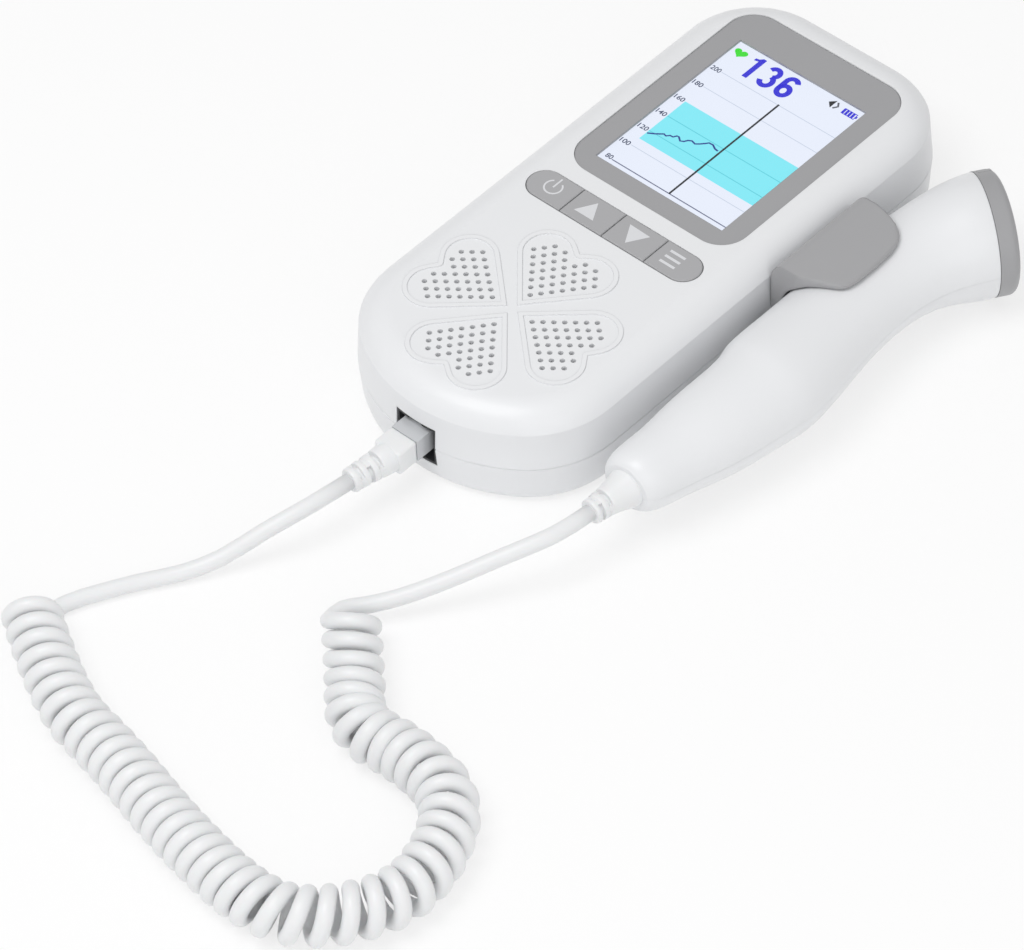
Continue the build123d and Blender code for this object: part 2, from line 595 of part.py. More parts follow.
# ================================================================== power
CELL_X = CELL_RADIUS + SEAT
CELL_Y0 = TUB_Y - CELL_LENGTH / 2
CELL_Z = TUB_ROOF_Z - GAP - CELL_RADIUS
with BuildPart() as battery_cells:
    for side in (-1, 1):
        with BuildSketch(Plane.XZ.offset(-TUB_Y + side * CELL_LENGTH / 2)):
            with Locations((side * CELL_X, CELL_Z)):
                Circle(CELL_RADIUS)
        extrude(amount=-side * CELL_LENGTH)
        with BuildSketch(Plane.XZ.offset(-TUB_Y + side * CELL_LENGTH / 2)):
            with Locations((side * CELL_X, CELL_Z)):
                Circle(CELL_NUB[0])
        extrude(amount=side * CELL_NUB[1])
save(battery_cells.part, "battery_cells")

# flat contact plates at both ends; each has a bowed leaf on its negative cell
with BuildPart() as battery_contacts:
    for end in (-1, 1):
        plate_y = TUB_Y + end * (TUB[1] / 2 - SEAT)
        with BuildSketch(Plane.XZ.offset(-plate_y)):
            with Locations((-CELL_X, CELL_Z), (CELL_X, CELL_Z)):
                Rectangle(CONTACT[0], CONTACT[1])
            with Locations((0, CELL_Z)):
                Rectangle(2 * CELL_X, CONTACT[1] / 3)
        extrude(amount=end * CONTACT[2])
save(battery_contacts.part, "battery_contacts")

with BuildPart() as battery_springs:
    for end in (-1, 1):
        root_y = TUB_Y + end * (TUB[1] / 2 - SEAT - CONTACT[2])
        tip_y = TUB_Y + end * (CELL_LENGTH / 2 + SEAT)
        reach = abs(root_y - tip_y)
        with BuildSketch(Plane.YZ.offset(end * CELL_X - CONTACT[0] / 3)):
            with BuildLine():
                leaf = Polyline(
                    (root_y, CELL_Z - CONTACT[1] / 2),
                    (tip_y + end * CONTACT[2], CELL_Z),
                    (root_y, CELL_Z + CONTACT[1] / 2),
                )
                offset(leaf, amount=CONTACT[2], side=Side.LEFT if end > 0 else Side.RIGHT)
            make_face()
        extrude(amount=2 * CONTACT[0] / 3)
save(battery_springs.part, "battery_springs")

# ================================================================== display
with BuildPart() as display_bezel:
    with BuildSketch(Plane.XY.offset(BEZEL_FLOOR_Z)):
        with Locations((0, BEZEL_Y)):
            RectangleRounded(*BEZEL, BEZEL_CORNER)
        with Locations((0, SCREEN_Y)):
            Rectangle(SCREEN[0] + 2 * BEZEL_BORDER, SCREEN[1] + 2 * BEZEL_BORDER, mode=Mode.SUBTRACT)
    extrude(amount=BEZEL_THICK)
save(display_bezel.part, "display_bezel")

with BuildPart() as display_window:
    with BuildSketch(Plane.XY.offset(BEZEL_FLOOR_Z - WINDOW_THICK)):
        with Locations((0, SCREEN_Y)):
            Rectangle(*WINDOW)
    extrude(amount=WINDOW_THICK)
save(display_window.part, "display_window")

with BuildPart() as lcd_panel:
    with BuildSketch(Plane.XY.offset(LCD_TOP_Z - LCD_THICK)):
        with Locations((0, LCD_Y)):
            Rectangle(*LCD)
    extrude(amount=LCD_THICK - 2 * SEAT)
    with BuildSketch(Plane.XY.offset(LCD_TOP_Z - 2 * SEAT)):
        with Locations((0, SCREEN_Y)):
            Rectangle(SCREEN[0] + 2 * BEZEL_BORDER, SCREEN[1] + 2 * BEZEL_BORDER)
    extrude(amount=2 * SEAT)
save(lcd_panel.part, "lcd_panel")

with BuildPart() as lcd_frame:
    frame_size = (LCD[0] + 2 * (SEAT + LCD_FRAME_WALL), LCD[1] + 2 * (SEAT + LCD_FRAME_WALL))
    with BuildSketch(Plane.XY.offset(BOARD_TOP + SEAT)):
        with Locations((0, LCD_Y)):
            RectangleRounded(*frame_size, LCD_FRAME_WALL)
            Rectangle(LCD[0] - 2 * LCD_LEDGE, LCD[1] - 2 * LCD_LEDGE, mode=Mode.SUBTRACT)
    extrude(amount=LCD_TOP_Z - LCD_THICK - BOARD_TOP - 2 * SEAT)
    with BuildSketch(faces().sort_by(Axis.Z)[-1]):
        RectangleRounded(*frame_size, LCD_FRAME_WALL)
        Rectangle(LCD[0] + 2 * SEAT, LCD[1] + 2 * SEAT, mode=Mode.SUBTRACT)
    extrude(amount=LCD_THICK - SEAT)
save(lcd_frame.part, "lcd_frame")

# ================================================================== keys
for name, x in zip(KEY_NAMES, KEY_X):
    outward = {KEY_NAMES[0]: -1, KEY_NAMES[-1]: 1}.get(name, 0)
    with BuildPart() as key:
        for high, grow in ((FLANGE_TOP_Z, 2 * KEY_FLANGE), (KEY_TOP_Z, -2 * KEY_GAP)):
            with BuildSketch(Plane.XY.offset(FLANGE_Z)):
                with Locations((KEY_STRIP_X, KEY_STRIP_Y)):
                    SlotOverall(KEY_STRIP[0] + grow, KEY_STRIP[1] + grow)
                with Locations((x + outward * KEY_FLANGE, KEY_STRIP_Y)):
                    Rectangle(
                        KEY_PITCH - KEY_GAP + 2 * abs(outward) * KEY_FLANGE,
                        KEY_STRIP[1] + 2 * KEY_FLANGE,
                        mode=Mode.INTERSECT,
                    )
            extrude(amount=high - FLANGE_Z)
        with BuildSketch(Plane.XY.offset(PLUNGER_TOP_Z + SEAT)):
            with Locations((x, KEY_STRIP_Y)):
                Circle(NUB_RADIUS)
        extrude(until=Until.NEXT)
        chamfer(faces().sort_by(Axis.Z)[-1].edges(), KEY_GAP)
    save(key.part, f"{name}_key")

with BuildPart() as tact_switches:
    with BuildSketch(Plane.XY.offset(BOARD_TOP)):
        with Locations(*[(x, KEY_STRIP_Y) for x in KEY_X]):
            RectangleRounded(SWITCH_SIZE, SWITCH_SIZE, SWITCH_WELL)
    extrude(amount=SWITCH_HIGH)
    with BuildSketch(Plane.XY.offset(BOARD_TOP + SWITCH_WELL)):
        with Locations(*[(x, KEY_STRIP_Y) for x in KEY_X]):
            Circle(PLUNGER_RADIUS + SEAT)
    extrude(amount=SWITCH_HIGH, mode=Mode.SUBTRACT)
save(tact_switches.part, "tact_switches")

for name, x in zip(KEY_NAMES, KEY_X):
    with BuildPart() as plunger:
        with BuildSketch(Plane.XY.offset(BOARD_TOP + SWITCH_WELL + KEY_TRAVEL + SEAT)):
            with Locations((x, KEY_STRIP_Y)):
                Circle(PLUNGER_RADIUS)
        extrude(amount=PLUNGER_TOP_Z - BOARD_TOP - SWITCH_WELL - KEY_TRAVEL - SEAT)
    save(plunger.part, f"{name}_switch_plunger")

# ================================================================== speaker
speaker_top = PANEL_Z - CLOTH_THICK
speaker_floor = speaker_top - SPEAKER_DEPTH
with BuildPart() as speaker_cloth:
    with BuildSketch(Plane.XY.offset(speaker_top)):
        with Locations((0, GRILLE_Y)):
            Circle(SPEAKER_RADIUS)
    extrude(amount=CLOTH_THICK)
save(speaker_cloth.part, "speaker_cloth")

with BuildPart() as speaker_frame:
    with BuildSketch(Plane.XY.offset(speaker_floor)):
        with Locations((0, GRILLE_Y)):
            Circle(SPEAKER_RADIUS)
    extrude(amount=SPEAKER_DEPTH)
    with BuildSketch(Plane.XY.offset(speaker_top)):
        with Locations((0, GRILLE_Y)):
            Circle(SPEAKER_RADIUS - SPEAKER_RIM)
    extrude(amount=SPEAKER_METAL - SPEAKER_DEPTH, mode=Mode.SUBTRACT)
    with BuildSketch(Plane.XY.offset(speaker_floor)):
        with Locations((0, GRILLE_Y)):
            with PolarLocations((SPEAKER_RADIUS + MAGNET_RADIUS) / 2, SPEAKER_WINDOWS):
                SlotOverall(2.4 * SPEAKER_RIM, 1.4 * SPEAKER_RIM, rotation=90)
    extrude(amount=SPEAKER_DEPTH, mode=Mode.SUBTRACT)
save(speaker_frame.part, "speaker_frame")

cone_outer = SPEAKER_RADIUS - SPEAKER_RIM - GAP
cone_top = speaker_top - GAP
cone_floor = cone_top - CONE_DEPTH
with BuildPart() as speaker_cone:
    with BuildSketch(Plane.XZ.offset(-GRILLE_Y)):
        with BuildLine():
            Polyline(
                (0, cone_floor),
                (DUST_CAP[0], cone_floor),
                (cone_outer, cone_top - CONE_THICK),
                (cone_outer, cone_top),
                (DUST_CAP[0], cone_floor + CONE_THICK),
                (DUST_CAP[0] / 2, cone_floor + 0.8 * DUST_CAP[1]),
                (0, cone_floor + DUST_CAP[1]),
                close=True,
            )
        make_face()
    revolve(axis=Axis((0, GRILLE_Y, 0), (0, 0, 1)))
save(speaker_cone.part, "speaker_cone")

with BuildPart() as speaker_magnet:
    with BuildSketch(Plane.XY.offset(speaker_floor)):
        with Locations((0, GRILLE_Y)):
            Circle(MAGNET_RADIUS)
    extrude(amount=-MAGNET_THICK)
    chamfer(faces().sort_by(Axis.Z)[0].edges(), SPEAKER_METAL)
save(speaker_magnet.part, "speaker_magnet")

# ================================================================== boards
with BuildPart() as main_board:
    with BuildSketch(Plane.XY.offset(BOARD_BOTTOM_Z)):
        with Locations((0, BOARD_Y)):
            RectangleRounded(*BOARD, BOARD_CORNER)
        with Locations(*corners(BOARD_SCREWS)):
            Circle(SMALL_SCREW_RADIUS + SEAT, mode=Mode.SUBTRACT)
    extrude(amount=BOARD_THICK)
save(main_board.part, "main_board")

with BuildPart() as board_chips:
    for x, beyond, wide, deep in CHIPS:
        with BuildSketch(Plane.XY.offset(BOARD_BOTTOM_Z)):
            with Locations((x, BOARD_Y + beyond)):
                Rectangle(wide, deep)
        extrude(amount=-CHIP_HIGH)
    with BuildSketch(Plane.XY.offset(BOARD_BOTTOM_Z)):
        with Locations(CAPACITOR_AT):
            Circle(CAPACITOR[0])
    extrude(amount=-CAPACITOR[1])
save(board_chips.part, "board_chips")

with BuildPart() as board_screws:
    with BuildSketch(Plane.XY.offset(BOARD_BOTTOM_Z)):
        with Locations(*corners(BOARD_SCREWS)):
            Circle(SMALL_SCREW_HEAD[0])
    extrude(amount=-SMALL_SCREW_HEAD[1])
    with BuildSketch(Plane.XY.offset(BOARD_BOTTOM_Z)):
        with Locations(*corners(BOARD_SCREWS)):
            Circle(SMALL_SCREW_RADIUS)
    extrude(amount=BOARD_THICK + SMALL_SCREW_BITE)
save(board_screws.part, "board_screws")

with BuildPart() as case_screws:
    with BuildSketch(Plane.XY.offset(SCREW_SEAT_Z)):
        with Locations(*corners(CASE_SCREWS)):
            Circle(SCREW_HEAD[0])
    extrude(amount=-SCREW_HEAD[1])
    with BuildSketch(Plane.XY.offset(SCREW_SEAT_Z)):
        with Locations(*corners(CASE_SCREWS)):
            Circle(SCREW_RADIUS)
    extrude(amount=SCREW_TIP_Z - SCREW_SEAT_Z)
save(case_screws.part, "case_screws")

# ================================================================== socket and plug
jack_back_y = JACK_FRONT_Y + JACK_DEPTH
cavity_end_y = NEAR_Y + PLUG_INSERTED + GAP
cavity_floor_z = PLUG_Z - PLUG[1] / 2 - PLUG_GAP
strip_top_z = PLUG_Z - PLUG[1] / 2 - SEAT
strip_x = [PLUG_CONTACT_PITCH * (i - (PLUG_CONTACTS - 1) / 2) for i in range(PLUG_CONTACTS)]
plug_tip_y = NEAR_Y + PLUG_INSERTED
plug_back_y = NEAR_Y - PLUG_SHOWN

with BuildPart() as jack_board:
    with BuildSketch(Plane.XY.offset(JACK_BOARD_Z)):
        with Locations((0, JACK_BOARD_Y)):
            Rectangle(JACK_BOARD[0], JACK_BOARD[1])
    extrude(amount=JACK_BOARD[2])
save(jack_board.part, "jack_board")

with BuildPart() as probe_jack:
    with BuildSketch(Plane.XZ.offset(-JACK_FRONT_Y)):
        with Locations((0, JACK_Z)):
            Rectangle(JACK_OPENING[0] + 2 * JACK_WALL, JACK_OPENING[1] + 2 * JACK_WALL)
    extrude(amount=-JACK_DEPTH)
    with BuildSketch(Plane.XY.offset(JACK_Z - JACK_OPENING[1] / 2 + SEAT)):
        add(case_plan(JACK_SUNK))
        with Locations((0, (NEAR_Y + JACK_FRONT_Y) / 2)):
            Rectangle(JACK_OPENING[0] - 2 * SEAT, JACK_FRONT_Y - NEAR_Y, mode=Mode.INTERSECT)
    extrude(amount=JACK_OPENING[1] - 2 * SEAT)
    with BuildSketch(Plane.XZ.offset(-NEAR_Y)):
        with Locations((0, JACK_Z)):
            Rectangle(*[size - 2 * SEAT - 2 * JACK_COLLAR for size in JACK_OPENING])
    extrude(amount=NEAR_Y - JACK_FRONT_Y - JACK_MOUTH, mode=Mode.SUBTRACT)
    with BuildSketch(Plane.XZ.offset(-NEAR_Y)):
        with Locations((0, PLUG_Z)):
            Rectangle(PLUG[0] + 2 * PLUG_GAP, PLUG[1] + 2 * PLUG_GAP)
        with Locations((0, (PLUG_Z + JACK_LATCH[1]) / 2)):
            Rectangle(JACK_LATCH[0], JACK_LATCH[1] - PLUG_Z)
    extrude(amount=NEAR_Y - cavity_end_y, mode=Mode.SUBTRACT)
    # grooves of the contact strips, open at the back
    with BuildSketch(Plane.XZ.offset(-JACK_FRONT_Y - JACK_MOUTH)):
        with Locations(*[(x, (cavity_floor_z + strip_top_z) / 2) for x in strip_x]):
            Rectangle(JACK_STRIP[0] + 2 * SEAT, JACK_STRIP[1] + strip_top_z - cavity_floor_z + SEAT)
    extrude(amount=-JACK_DEPTH, mode=Mode.SUBTRACT)
save(probe_jack.part, "probe_jack")

with BuildPart() as jack_contacts:
    strip_mid_z = strip_top_z - JACK_STRIP[1] / 2
    tail_y = jack_back_y + SEAT + JACK_STRIP[1]
    with BuildSketch(Plane.XZ.offset(-plug_tip_y + PLUG_BLADE[1])):
        with Locations(*[(x, strip_mid_z) for x in strip_x]):
            Rectangle(*JACK_STRIP)
    extrude(amount=plug_tip_y - PLUG_BLADE[1] - tail_y)
    with BuildSketch(Plane.XZ.offset(-tail_y)):
        with Locations(*[(x, (strip_top_z + JACK_BOARD_TOP) / 2) for x in strip_x]):
            Rectangle(JACK_STRIP[0], strip_top_z - JACK_BOARD_TOP)
    extrude(amount=JACK_STRIP[1])
save(jack_contacts.part, "jack_contacts")

blade_y = plug_tip_y - PLUG_BLADE[1] - PLUG_GAP
with BuildPart() as plug_body:
    with BuildSketch(Plane.XZ.offset(-plug_tip_y)):
        with Locations((0, PLUG_Z)):
            Rectangle(*PLUG)
    extrude(amount=plug_tip_y - plug_back_y)
    # slots of the blades, open below
    with BuildSketch(Plane.XZ.offset(-plug_tip_y)):
        with Locations(*[(x, PLUG_Z - PLUG[1] / 2 + PLUG_BLADE[2] / 2) for x in strip_x]):
            Rectangle(PLUG_SLOT, PLUG_BLADE[2] + 2 * SEAT)
    extrude(amount=PLUG_BLADE[1] + 2 * PLUG_GAP, mode=Mode.SUBTRACT)
    # latch, hinged at the tip and sloping up towards the lead
    plug_top_z = PLUG_Z + PLUG[1] / 2
    latch_rise = JACK_LATCH[1] - plug_top_z - PLUG_LATCH[1] - GAP
    with BuildSketch(Plane.YZ.offset(-PLUG_LATCH[0] / 2)):
        with BuildLine():
            Polyline(
                (plug_tip_y, plug_top_z - SEAT),
                (plug_tip_y - PLUG_LATCH[2], plug_top_z + latch_rise),
                (plug_tip_y - PLUG_LATCH[2], plug_top_z + latch_rise + PLUG_LATCH[1]),
                (plug_tip_y - PLUG_LATCH[1], plug_top_z + PLUG_LATCH[1]),
                (plug_tip_y, plug_top_z),
                close=True,
            )
        make_face()
    extrude(amount=PLUG_LATCH[0])
save(plug_body.part, "plug_body")

with BuildPart() as plug_contacts:
    with BuildSketch(Plane.XZ.offset(-plug_tip_y + PLUG_GAP)):
        with Locations(*[(x, PLUG_Z - PLUG[1] / 2 + PLUG_BLADE[2] / 2) for x in strip_x]):
            Rectangle(PLUG_BLADE[0], PLUG_BLADE[2])
    extrude(amount=PLUG_BLADE[1])
save(plug_contacts.part, "plug_contacts")

relief_start = (0, plug_back_y - BOOT_BLOCK[2] + RING_DEPTH, PLUG_Z)
with BuildPart() as plug_boot:
    with BuildSketch(Plane.XZ.offset(-plug_back_y)):
        with Locations((0, PLUG_Z)):
            RectangleRounded(BOOT_BLOCK[0], BOOT_BLOCK[1], RING_WIDE)
    extrude(amount=BOOT_BLOCK[2])
    add(relief(relief_start, RELIEF_TURN, RELIEF_LENGTH, RELIEF_RADII))
save(plug_boot.part, "plug_boot")

# ================================================================== probe clip
tongue_top_z = CLIP_TONGUE_Z + CLIP_TONGUE
with BuildPart() as probe_clip:
    # plate against the wall, with the curved root of the tongue
    with BuildSketch(Plane.XZ.offset(-CLIP_Y[0])):
        with BuildLine():
            low_x = WALL_X - (PARTING_Z - CLIP_FOOT_TOP + CLIP_FOOT) * tan(radians(BACK_DRAFT)) + SEAT
            high_x = WALL_X - (CLIP_ROOT_Z - PARTING_Z) * tan(radians(FRONT_DRAFT)) + SEAT
            plate_x = WALL_X + CLIP_PLATE
            Polyline(
                (plate_x, CLIP_ROOT_Z),
                (plate_x, CLIP_FOOT_TOP - CLIP_FOOT),
                (low_x, CLIP_FOOT_TOP - CLIP_FOOT),
                (WALL_X + SEAT, PARTING_Z),
                (high_x, CLIP_ROOT_Z),
            )
            ThreePointArc(
                (high_x, CLIP_ROOT_Z),
                (high_x + 0.3 * (CLIP_ROOT_X - high_x), CLIP_ROOT_Z + 0.72 * (tongue_top_z - CLIP_ROOT_Z)),
                (CLIP_ROOT_X, tongue_top_z),
            )
            Line((CLIP_ROOT_X, tongue_top_z), (CLIP_ROOT_X, CLIP_TONGUE_Z))
            ThreePointArc(
                (CLIP_ROOT_X, CLIP_TONGUE_Z),
                (plate_x + 0.3 * (CLIP_ROOT_X - plate_x), CLIP_ROOT_Z + 0.72 * (CLIP_TONGUE_Z - CLIP_ROOT_Z)),
                (plate_x, CLIP_ROOT_Z),
            )
        make_face()
    extrude(amount=CLIP_Y[0] - CLIP_Y[1])
    with BuildSketch(Plane.XY.offset(CLIP_TONGUE_Z)):
        with Locations(((CLIP_ROOT_X + CLIP_TONGUE_X) / 2, (CLIP_Y[0] + CLIP_Y[1]) / 2)):
            Rectangle(CLIP_TONGUE_X - CLIP_ROOT_X, CLIP_Y[1] - CLIP_Y[0])
        free = vertices().filter_by(lambda v: v.X > CLIP_ROOT_X + SEAT).sort_by(Axis.Y)
        fillet(free[0], CLIP_CORNERS[1])
        fillet(vertices().filter_by(lambda v: v.X > CLIP_ROOT_X + SEAT).sort_by(Axis.Y)[-1], CLIP_CORNERS[0])
    extrude(amount=CLIP_TONGUE)
    with BuildSketch(Plane.XY.offset(CLIP_FOOT_TOP - CLIP_FOOT)):
        with Locations(((plate_x + CLIP_FOOT_X) / 2, (CLIP_Y[0] + CLIP_Y[1]) / 2)):
            Rectangle(CLIP_FOOT_X - plate_x, CLIP_Y[1] - CLIP_Y[0])
        fillet(vertices().filter_by(lambda v: v.X > CLIP_FOOT_X - SEAT), CLIP_FOOT_CORNER)
    extrude(amount=CLIP_FOOT)
    with BuildSketch(Plane.YZ.offset(WALL_X - WALL)):
        with Locations(*[(y, PARTING_Z + CLIP_SCREW_Z) for y in CLIP_SCREWS_Y]):
            Circle(SMALL_SCREW_RADIUS + PILOT_GAP)
    extrude(amount=CLIP_SCREW_BITE + GAP, mode=Mode.SUBTRACT)
save(probe_clip.part, "probe_clip")

with BuildPart() as clip_screws:
    head_top_z = CLIP_SCREW_Z + SMALL_SCREW_HEAD[0]
    seat_x = WALL_X - WALL - head_top_z * tan(radians(FRONT_DRAFT)) - SEAT
    with BuildSketch(Plane.YZ.offset(seat_x)):
        with Locations(*[(y, PARTING_Z + CLIP_SCREW_Z) for y in CLIP_SCREWS_Y]):
            Circle(SMALL_SCREW_HEAD[0])
    extrude(amount=-SMALL_SCREW_HEAD[1])
    with BuildSketch(Plane.YZ.offset(seat_x)):
        with Locations(*[(y, PARTING_Z + CLIP_SCREW_Z) for y in CLIP_SCREWS_Y]):
            Circle(SMALL_SCREW_RADIUS)
    extrude(amount=WALL_X - WALL + CLIP_SCREW_BITE - seat_x)
save(clip_screws.part, "clip_screws")

# ================================================================== probe
tail_y, tail_x = STATIONS[0][0], STATIONS[0][1]
board_bottom_z = PROBE_BOARD_TOP - PROBE_BOARD[2]
rib_y = (PROBE_BOARD_Y - PROBE_RIBS[0], PROBE_BOARD_Y + PROBE_RIBS[0])
for name, keep in (("probe_upper_shell", Keep.TOP), ("probe_lower_shell", Keep.BOTTOM)):
    with BuildPart() as fittings:
        add(probe_body())
        with BuildSketch():
            with Locations(*PROBE_SCREWS):
                Circle(SMALL_BOSS_RADIUS + SMALL_SCREW_HEAD[1])
            if keep == Keep.BOTTOM:
                with Locations(*[(STATIONS[5][1], y) for y in rib_y]):
                    Rectangle(2 * CAP_RADIUS, PROBE_RIBS[1])
        extrude(amount=2 * PROBE_Z, mode=Mode.INTERSECT)
        if keep == Keep.BOTTOM:
            with BuildSketch(Plane.XY.offset(board_bottom_z)):
                with Locations((STATIONS[5][1], PROBE_BOARD_Y)):
                    Rectangle(2 * CAP_RADIUS, PROBE_BOARD[1])
            extrude(amount=PROBE_Z, mode=Mode.SUBTRACT)
    with BuildPart() as shell:
        add(probe_body())
        add(probe_body(PROBE_WALL, first=1), mode=Mode.SUBTRACT)
        with BuildSketch(Plane.XZ.offset(-tail_y)):
            with Locations((tail_x, PROBE_Z)):
                Circle(BOOT_NECK + SEAT)
        extrude(amount=tail_y - STATIONS[1][0] - PROBE_WALL, mode=Mode.SUBTRACT)
        add(fittings.part)
        with BuildSketch(Plane.XY.offset(PROBE_SCREW_SEAT)):
            with Locations(*PROBE_SCREWS):
                Circle(SMALL_SCREW_RADIUS + PILOT_GAP)
        extrude(amount=PROBE_SCREW_TIP + GAP - PROBE_SCREW_SEAT, mode=Mode.SUBTRACT)
        with BuildSketch():
            with Locations(*PROBE_SCREWS):
                Circle(SMALL_SCREW_HEAD[0] + GAP)
        extrude(amount=PROBE_SCREW_SEAT, mode=Mode.SUBTRACT)
        split(bisect_by=Plane.XY.offset(PROBE_Z), keep=keep)
    save(shell.part, name)

with BuildPart() as probe_board:
    with BuildSketch(Plane.XY.offset(board_bottom_z)):
        with Locations((STATIONS[5][1], PROBE_BOARD_Y)):
            Rectangle(PROBE_BOARD[0], PROBE_BOARD[1])
    extrude(amount=PROBE_BOARD[2])
save(probe_board.part, "probe_board")

with BuildPart() as probe_screws:
    with BuildSketch(Plane.XY.offset(PROBE_SCREW_SEAT)):
        with Locations(*PROBE_SCREWS):
            Circle(SMALL_SCREW_HEAD[0])
    extrude(amount=-SMALL_SCREW_HEAD[1])
    with BuildSketch(Plane.XY.offset(PROBE_SCREW_SEAT)):
        with Locations(*PROBE_SCREWS):
            Circle(SMALL_SCREW_RADIUS)
    extrude(amount=PROBE_SCREW_TIP - PROBE_SCREW_SEAT)
save(probe_screws.part, "probe_screws")

boot_start = (tail_x, tail_y - SEAT - BOOT_COLLAR, PROBE_Z)
with BuildPart() as probe_boot:
    for y, radius, length in (
        (boot_start[1] - RING_DEPTH, PROBE_BOOT_RADII[0], BOOT_COLLAR + RING_DEPTH),
        (boot_start[1], BOOT_NECK, STATIONS[1][0] + 2 * SEAT - boot_start[1]),
        (STATIONS[1][0] + SEAT, BOOT_FLANGE[0], BOOT_FLANGE[1]),
    ):
        with BuildSketch(Plane.XZ.offset(-y)):
            with Locations((tail_x, PROBE_Z)):
                Circle(radius)
        extrude(amount=-length)
    add(relief(boot_start, PROBE_BOOT_TURN, PROBE_BOOT_LENGTH, PROBE_BOOT_RADII))
save(probe_boot.part, "probe_boot")

# the cap and what it holds, about the axis of the last station
face_y, face_x, heading = STATIONS[-1][0], STATIONS[-1][1], radians(STATIONS[-1][4])
cap_plane = Plane(
    (face_x, face_y, PROBE_Z), x_dir=(cos(heading), -sin(heading), 0), z_dir=(sin(heading), cos(heading), 0)
)
mark_turn = radians(MARK_ANGLE)
mark_plane = Plane(
    cap_plane.from_local_coords((-CAP_RADIUS * sin(mark_turn), -CAP_RADIUS * cos(mark_turn), CAP_THICK / 2)),
    x_dir=cap_plane.z_dir,
    z_dir=-cap_plane.x_dir * sin(mark_turn) - cap_plane.y_dir * cos(mark_turn),
)
with BuildPart() as probe_cap:
    with BuildSketch(cap_plane.offset(SEAT)):
        Circle(CAP_RADIUS)
    extrude(amount=CAP_THICK - SEAT)
    fillet(edges().group_by(Axis((face_x, face_y, PROBE_Z), cap_plane.z_dir))[-1], CAP_EDGE)
    with BuildSketch(cap_plane.offset(CAP_THICK - SEAT)):
        Circle(SPIGOT[0])
    extrude(amount=SEAT - CAP_THICK - SPIGOT[1])
    with BuildSketch(cap_plane.offset(-SPIGOT[1])):
        Circle(CAP_BORE)
    extrude(amount=CAP_THICK + SPIGOT[1], mode=Mode.SUBTRACT)
    with BuildSketch(cap_plane.offset(CAP_THICK)):
        Circle(CAP_RADIUS - CAP_WALL)
    extrude(amount=-FACE_THICK, mode=Mode.SUBTRACT)
    with BuildSketch(mark_plane):
        RectangleRounded(MARK[0] + 2 * SEAT, MARK[1] + 2 * SEAT, MARK[2] + SEAT)
    extrude(amount=-2 * MARK[2], mode=Mode.SUBTRACT)
save(probe_cap.part, "probe_cap")

with BuildPart() as cap_mark:
    with BuildSketch(mark_plane.offset(-2 * MARK[2])):
        RectangleRounded(MARK[0], MARK[1], MARK[2])
    extrude(amount=2 * MARK[2])
save(cap_mark.part, "cap_mark")

with BuildPart() as probe_face:
    with BuildSketch(cap_plane.offset(CAP_THICK - FACE_THICK)):
        Circle(CAP_RADIUS - CAP_WALL - SEAT)
    extrude(amount=FACE_THICK)
    fillet(edges().group_by(Axis(cap_plane.origin, cap_plane.z_dir))[-1], FACE_DOME)
save(probe_face.part, "probe_face")

with BuildPart() as piezo_elements:
    with BuildSketch(cap_plane.offset(CAP_THICK - FACE_THICK)):
        Circle(PIEZO_RADIUS)
        Rectangle(PIEZO_SPLIT, 2 * PIEZO_RADIUS, mode=Mode.SUBTRACT)
    extrude(amount=-PIEZO_THICK)
save(piezo_elements.part, "piezo_elements")

with BuildPart() as transducer_backing:
    with BuildSketch(cap_plane.offset(CAP_THICK - FACE_THICK - PIEZO_THICK)):
        Circle(CAP_BORE - SEAT)
    extrude(amount=-BACKING_THICK)
save(transducer_backing.part, "transducer_backing")

# ================================================================== lead
unit_end = relief_end(relief_start, RELIEF_TURN, RELIEF_LENGTH)
probe_end = relief_end(boot_start, PROBE_BOOT_TURN, PROBE_BOOT_LENGTH)
tube([unit_end, relief_end(unit_end, RELIEF_TURN, UNIT_EXIT), *UNIT_LEAD], CORD, "lead_to_unit")
tube([probe_end, relief_end(probe_end, PROBE_BOOT_TURN, PROBE_EXIT), *PROBE_LEAD], CORD, "lead_to_probe")
tube([(x, y, COIL_Z) for x, y in COIL_ROUTE], COIL, "cord_coil")
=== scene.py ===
"""Fetal doppler monitor with its probe in the side clip and the coiled lead on the table.

Everything is in metres in the CAD model's frame: X right, Y towards the display, Z up.
"""
import json
import math

import bmesh
import bpy
from mathutils import Matrix, Vector


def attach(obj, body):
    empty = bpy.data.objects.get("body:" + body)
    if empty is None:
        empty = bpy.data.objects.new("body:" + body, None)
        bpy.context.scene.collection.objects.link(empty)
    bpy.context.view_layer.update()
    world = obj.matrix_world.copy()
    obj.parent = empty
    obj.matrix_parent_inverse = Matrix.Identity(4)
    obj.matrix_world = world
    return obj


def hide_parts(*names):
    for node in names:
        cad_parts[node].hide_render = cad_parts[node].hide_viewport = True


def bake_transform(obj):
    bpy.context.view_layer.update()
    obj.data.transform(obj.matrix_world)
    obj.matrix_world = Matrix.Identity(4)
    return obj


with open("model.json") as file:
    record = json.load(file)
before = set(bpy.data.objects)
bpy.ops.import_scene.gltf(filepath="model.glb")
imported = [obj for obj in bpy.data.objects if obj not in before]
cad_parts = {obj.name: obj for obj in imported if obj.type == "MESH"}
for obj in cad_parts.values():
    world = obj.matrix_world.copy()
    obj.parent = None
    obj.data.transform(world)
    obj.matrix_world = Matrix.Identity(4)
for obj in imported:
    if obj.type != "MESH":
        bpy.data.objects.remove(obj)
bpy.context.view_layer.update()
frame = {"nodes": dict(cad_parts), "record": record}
MM = 0.001


